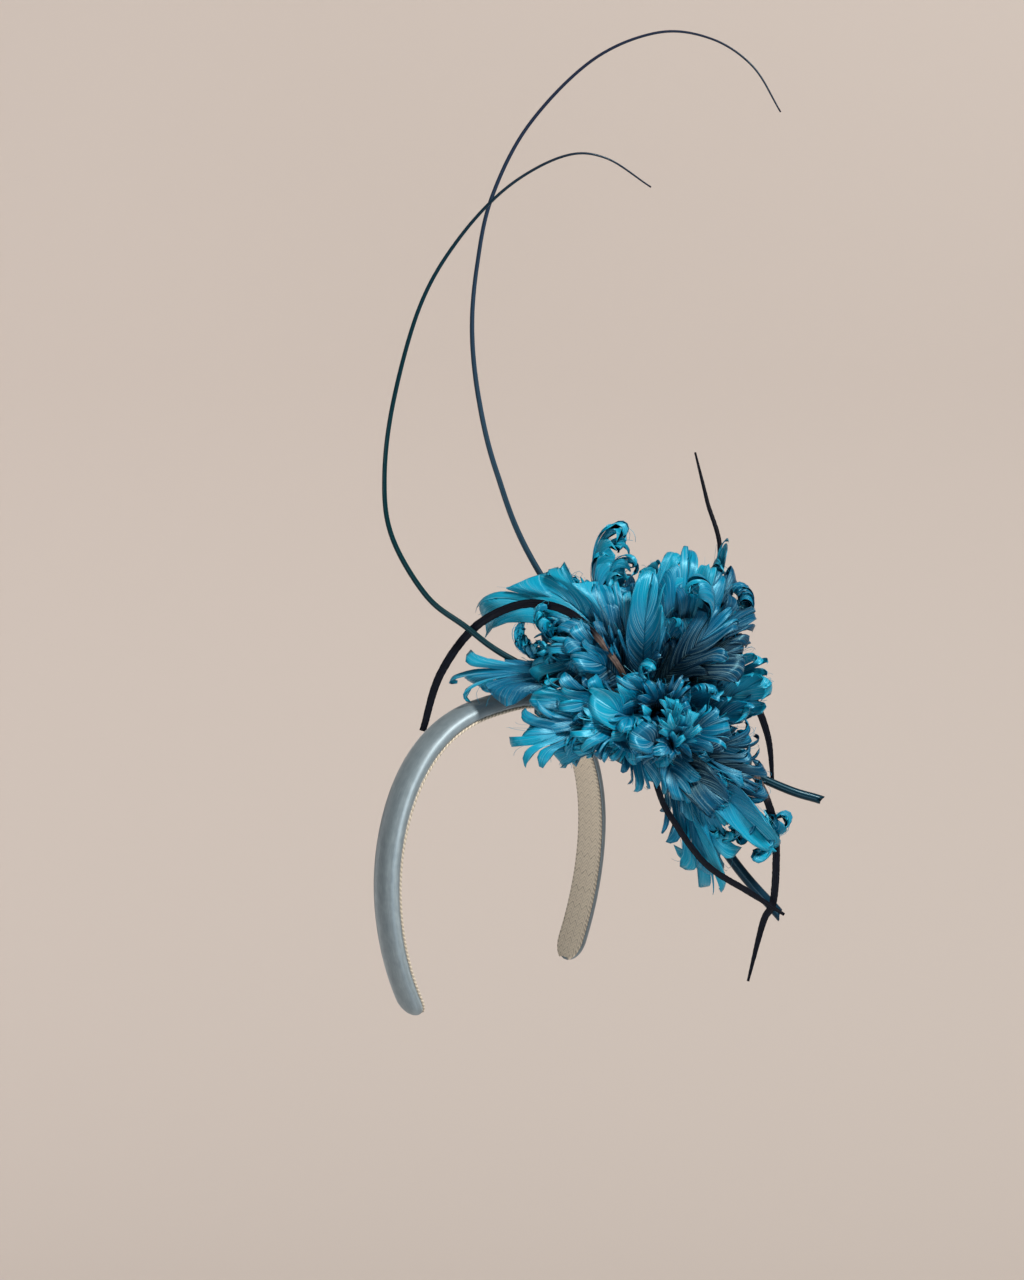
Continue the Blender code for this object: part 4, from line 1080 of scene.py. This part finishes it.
# Trimmed spines. The shaft of a dark feather keeps a narrow strip of vane on each side, cut short
# with scissors, so it reads as a flat ribbon with a ridge down its middle and a fine fringe.
SPINE_STEP = 0.9
SPINE_TOP = 11  # points across the upper face
SPINE_UNDER = 9
SPINE_RAGGED = 0.025  # how unevenly the edges are cut, as a share of the width
SPINES = (
    # node, share of the root end stripped to the brown shaft, rows: across, up, near, width
    ("navy_loop_left", 0.2, (
        (64.0, 9.0, 18, 2.4),
        (58.5, 22.0, 30, 2.8),
        (42.4, 41.7, 27, 3.6),
        (26.7, 49.7, 22, 3.9),
        (9.5, 49.0, 16, 4.0),
        (-9.2, 38.2, 13, 4.0),
        (-24.3, 16.8, 14, 3.8),
        (-32.2, -9.0, 15, 3.2),
    )),
    ("navy_spike_up", 0.0, (
        (79.0, 6.0, 4, 2.6),
        (96.0, 36.0, -4, 2.5),
        (107.5, 73.0, -9, 2.3),
        (101.6, 99.5, -12, 1.9),
        (96.1, 122.3, -14, 1.0),
    )),
    ("navy_sweep_right", 0.0, (
        (80.0, 4.0, -4, 3.4),
        (104.0, 18.0, -6, 3.6),
        (118.0, 14.0, -7, 3.6),
        (124.9, 2.8, -8, 3.6),
        (130.6, -13.8, -9, 3.0),
        (132.6, -34.0, -10, 1.6),
    )),
    ("navy_tail_low", 0.38, (
        (82.0, -8.0, 8, 3.4),
        (104.0, -12.0, 8, 3.4),
        (122.0, -28.0, 7, 3.5),
        (131.5, -48.7, 5, 3.6),
        (133.5, -66.6, 3, 3.6),
        (132.2, -89.3, 1, 3.5),
        (127.5, -99.2, 0, 3.2),
        (120.4, -126.9, 0, 1.2),
    )),
    ("navy_sweep_low", 0.0, (
        (72.0, -12.0, 20, 2.6),
        (77.6, -36.6, 24, 2.8),
        (84.6, -50.6, 20, 2.9),
        (100.1, -71.2, 15, 3.0),
        (119.9, -84.1, 11, 2.9),
        (137.0, -95.1, 8, 1.5),
    )),
)


def spine(rows, bare, seed):
    """A closed flat ribbon: a raised middle shaft, thin vanes, and edges cut slightly ragged."""
    path, at = smooth_path(rows, SPINE_STEP)
    rng = np.random.default_rng(seed)
    centre = path[:, None, :3]
    _, beside, face = axes_along(path[:, :3], (0.0, 0.0, 1.0))
    across = np.r_[np.linspace(-1.0, 1.0, SPINE_TOP), np.linspace(0.8, -0.8, SPINE_UNDER)]
    ridge = np.exp(-(across / 0.2) ** 2)
    thick = np.r_[0.12 + 0.24 * ridge[:SPINE_TOP], -0.12 - 0.2 * ridge[SPINE_TOP:]]
    thick[[0, SPINE_TOP - 1]] = 0.0
    share = at / at[-1]
    nicks = rng.normal(0.0, 1.0, (len(at), len(across))) * (np.abs(across) > 0.7)
    ragged = 1.0 + SPINE_RAGGED * nicks
    half = (path[:, 3] / 2)[:, None, None]
    rings = centre + beside * half * (across * ragged)[..., None] + face * thick[None, :, None]
    brown = np.clip(1.0 - (share - bare) / 0.04, 0.0, 1.0) if bare else np.zeros(len(at))
    tone = np.broadcast_to(brown[:, None], rings.shape[:2])
    uv = stacked(across[None, :] * path[:, 3:] / 200, at[:, None] / 100)
    return laid(rings), uv, tone


# Dyed coque spine: near black navy barbs with a dull gloss that lie at a slant to the shaft, and
# bare brown shaft where the vane is stripped off. Barbs are drawn 0.4 mm apart.
coque, tree, shader = new_material("dyed coque spine", {"Roughness": 0.48, "Specular IOR Level": 0.12})
barbs = streaks(tree, add_node(tree, "UVMap").outputs[0], (240.0, 40.0, 1.0), 2.0, 0.6, 0.5)
inputs = {
    0: add_node(tree, "Attribute", attribute_name="tone").outputs["Fac"],
    6: ramp(tree, barbs, ((0.3, "#010307"), (0.75, "#080e1e"))),
    7: ramp(tree, barbs, ((0.2, "#2c2423"), (0.8, "#786862"))),
}
colour = add_node(tree, "Mix", inputs, data_type="RGBA")
tree.links.new(colour.outputs[2], shader.inputs["Base Color"])
raised(tree, shader, barbs, 0.4, 0.0001)

for number, (node, bare_share, rows) in enumerate(SPINES):
    piece = add_skins(node + "_spine", [spine(rows, bare_share, 40 + number)], coque)
    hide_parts(node)
    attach(piece, "root")
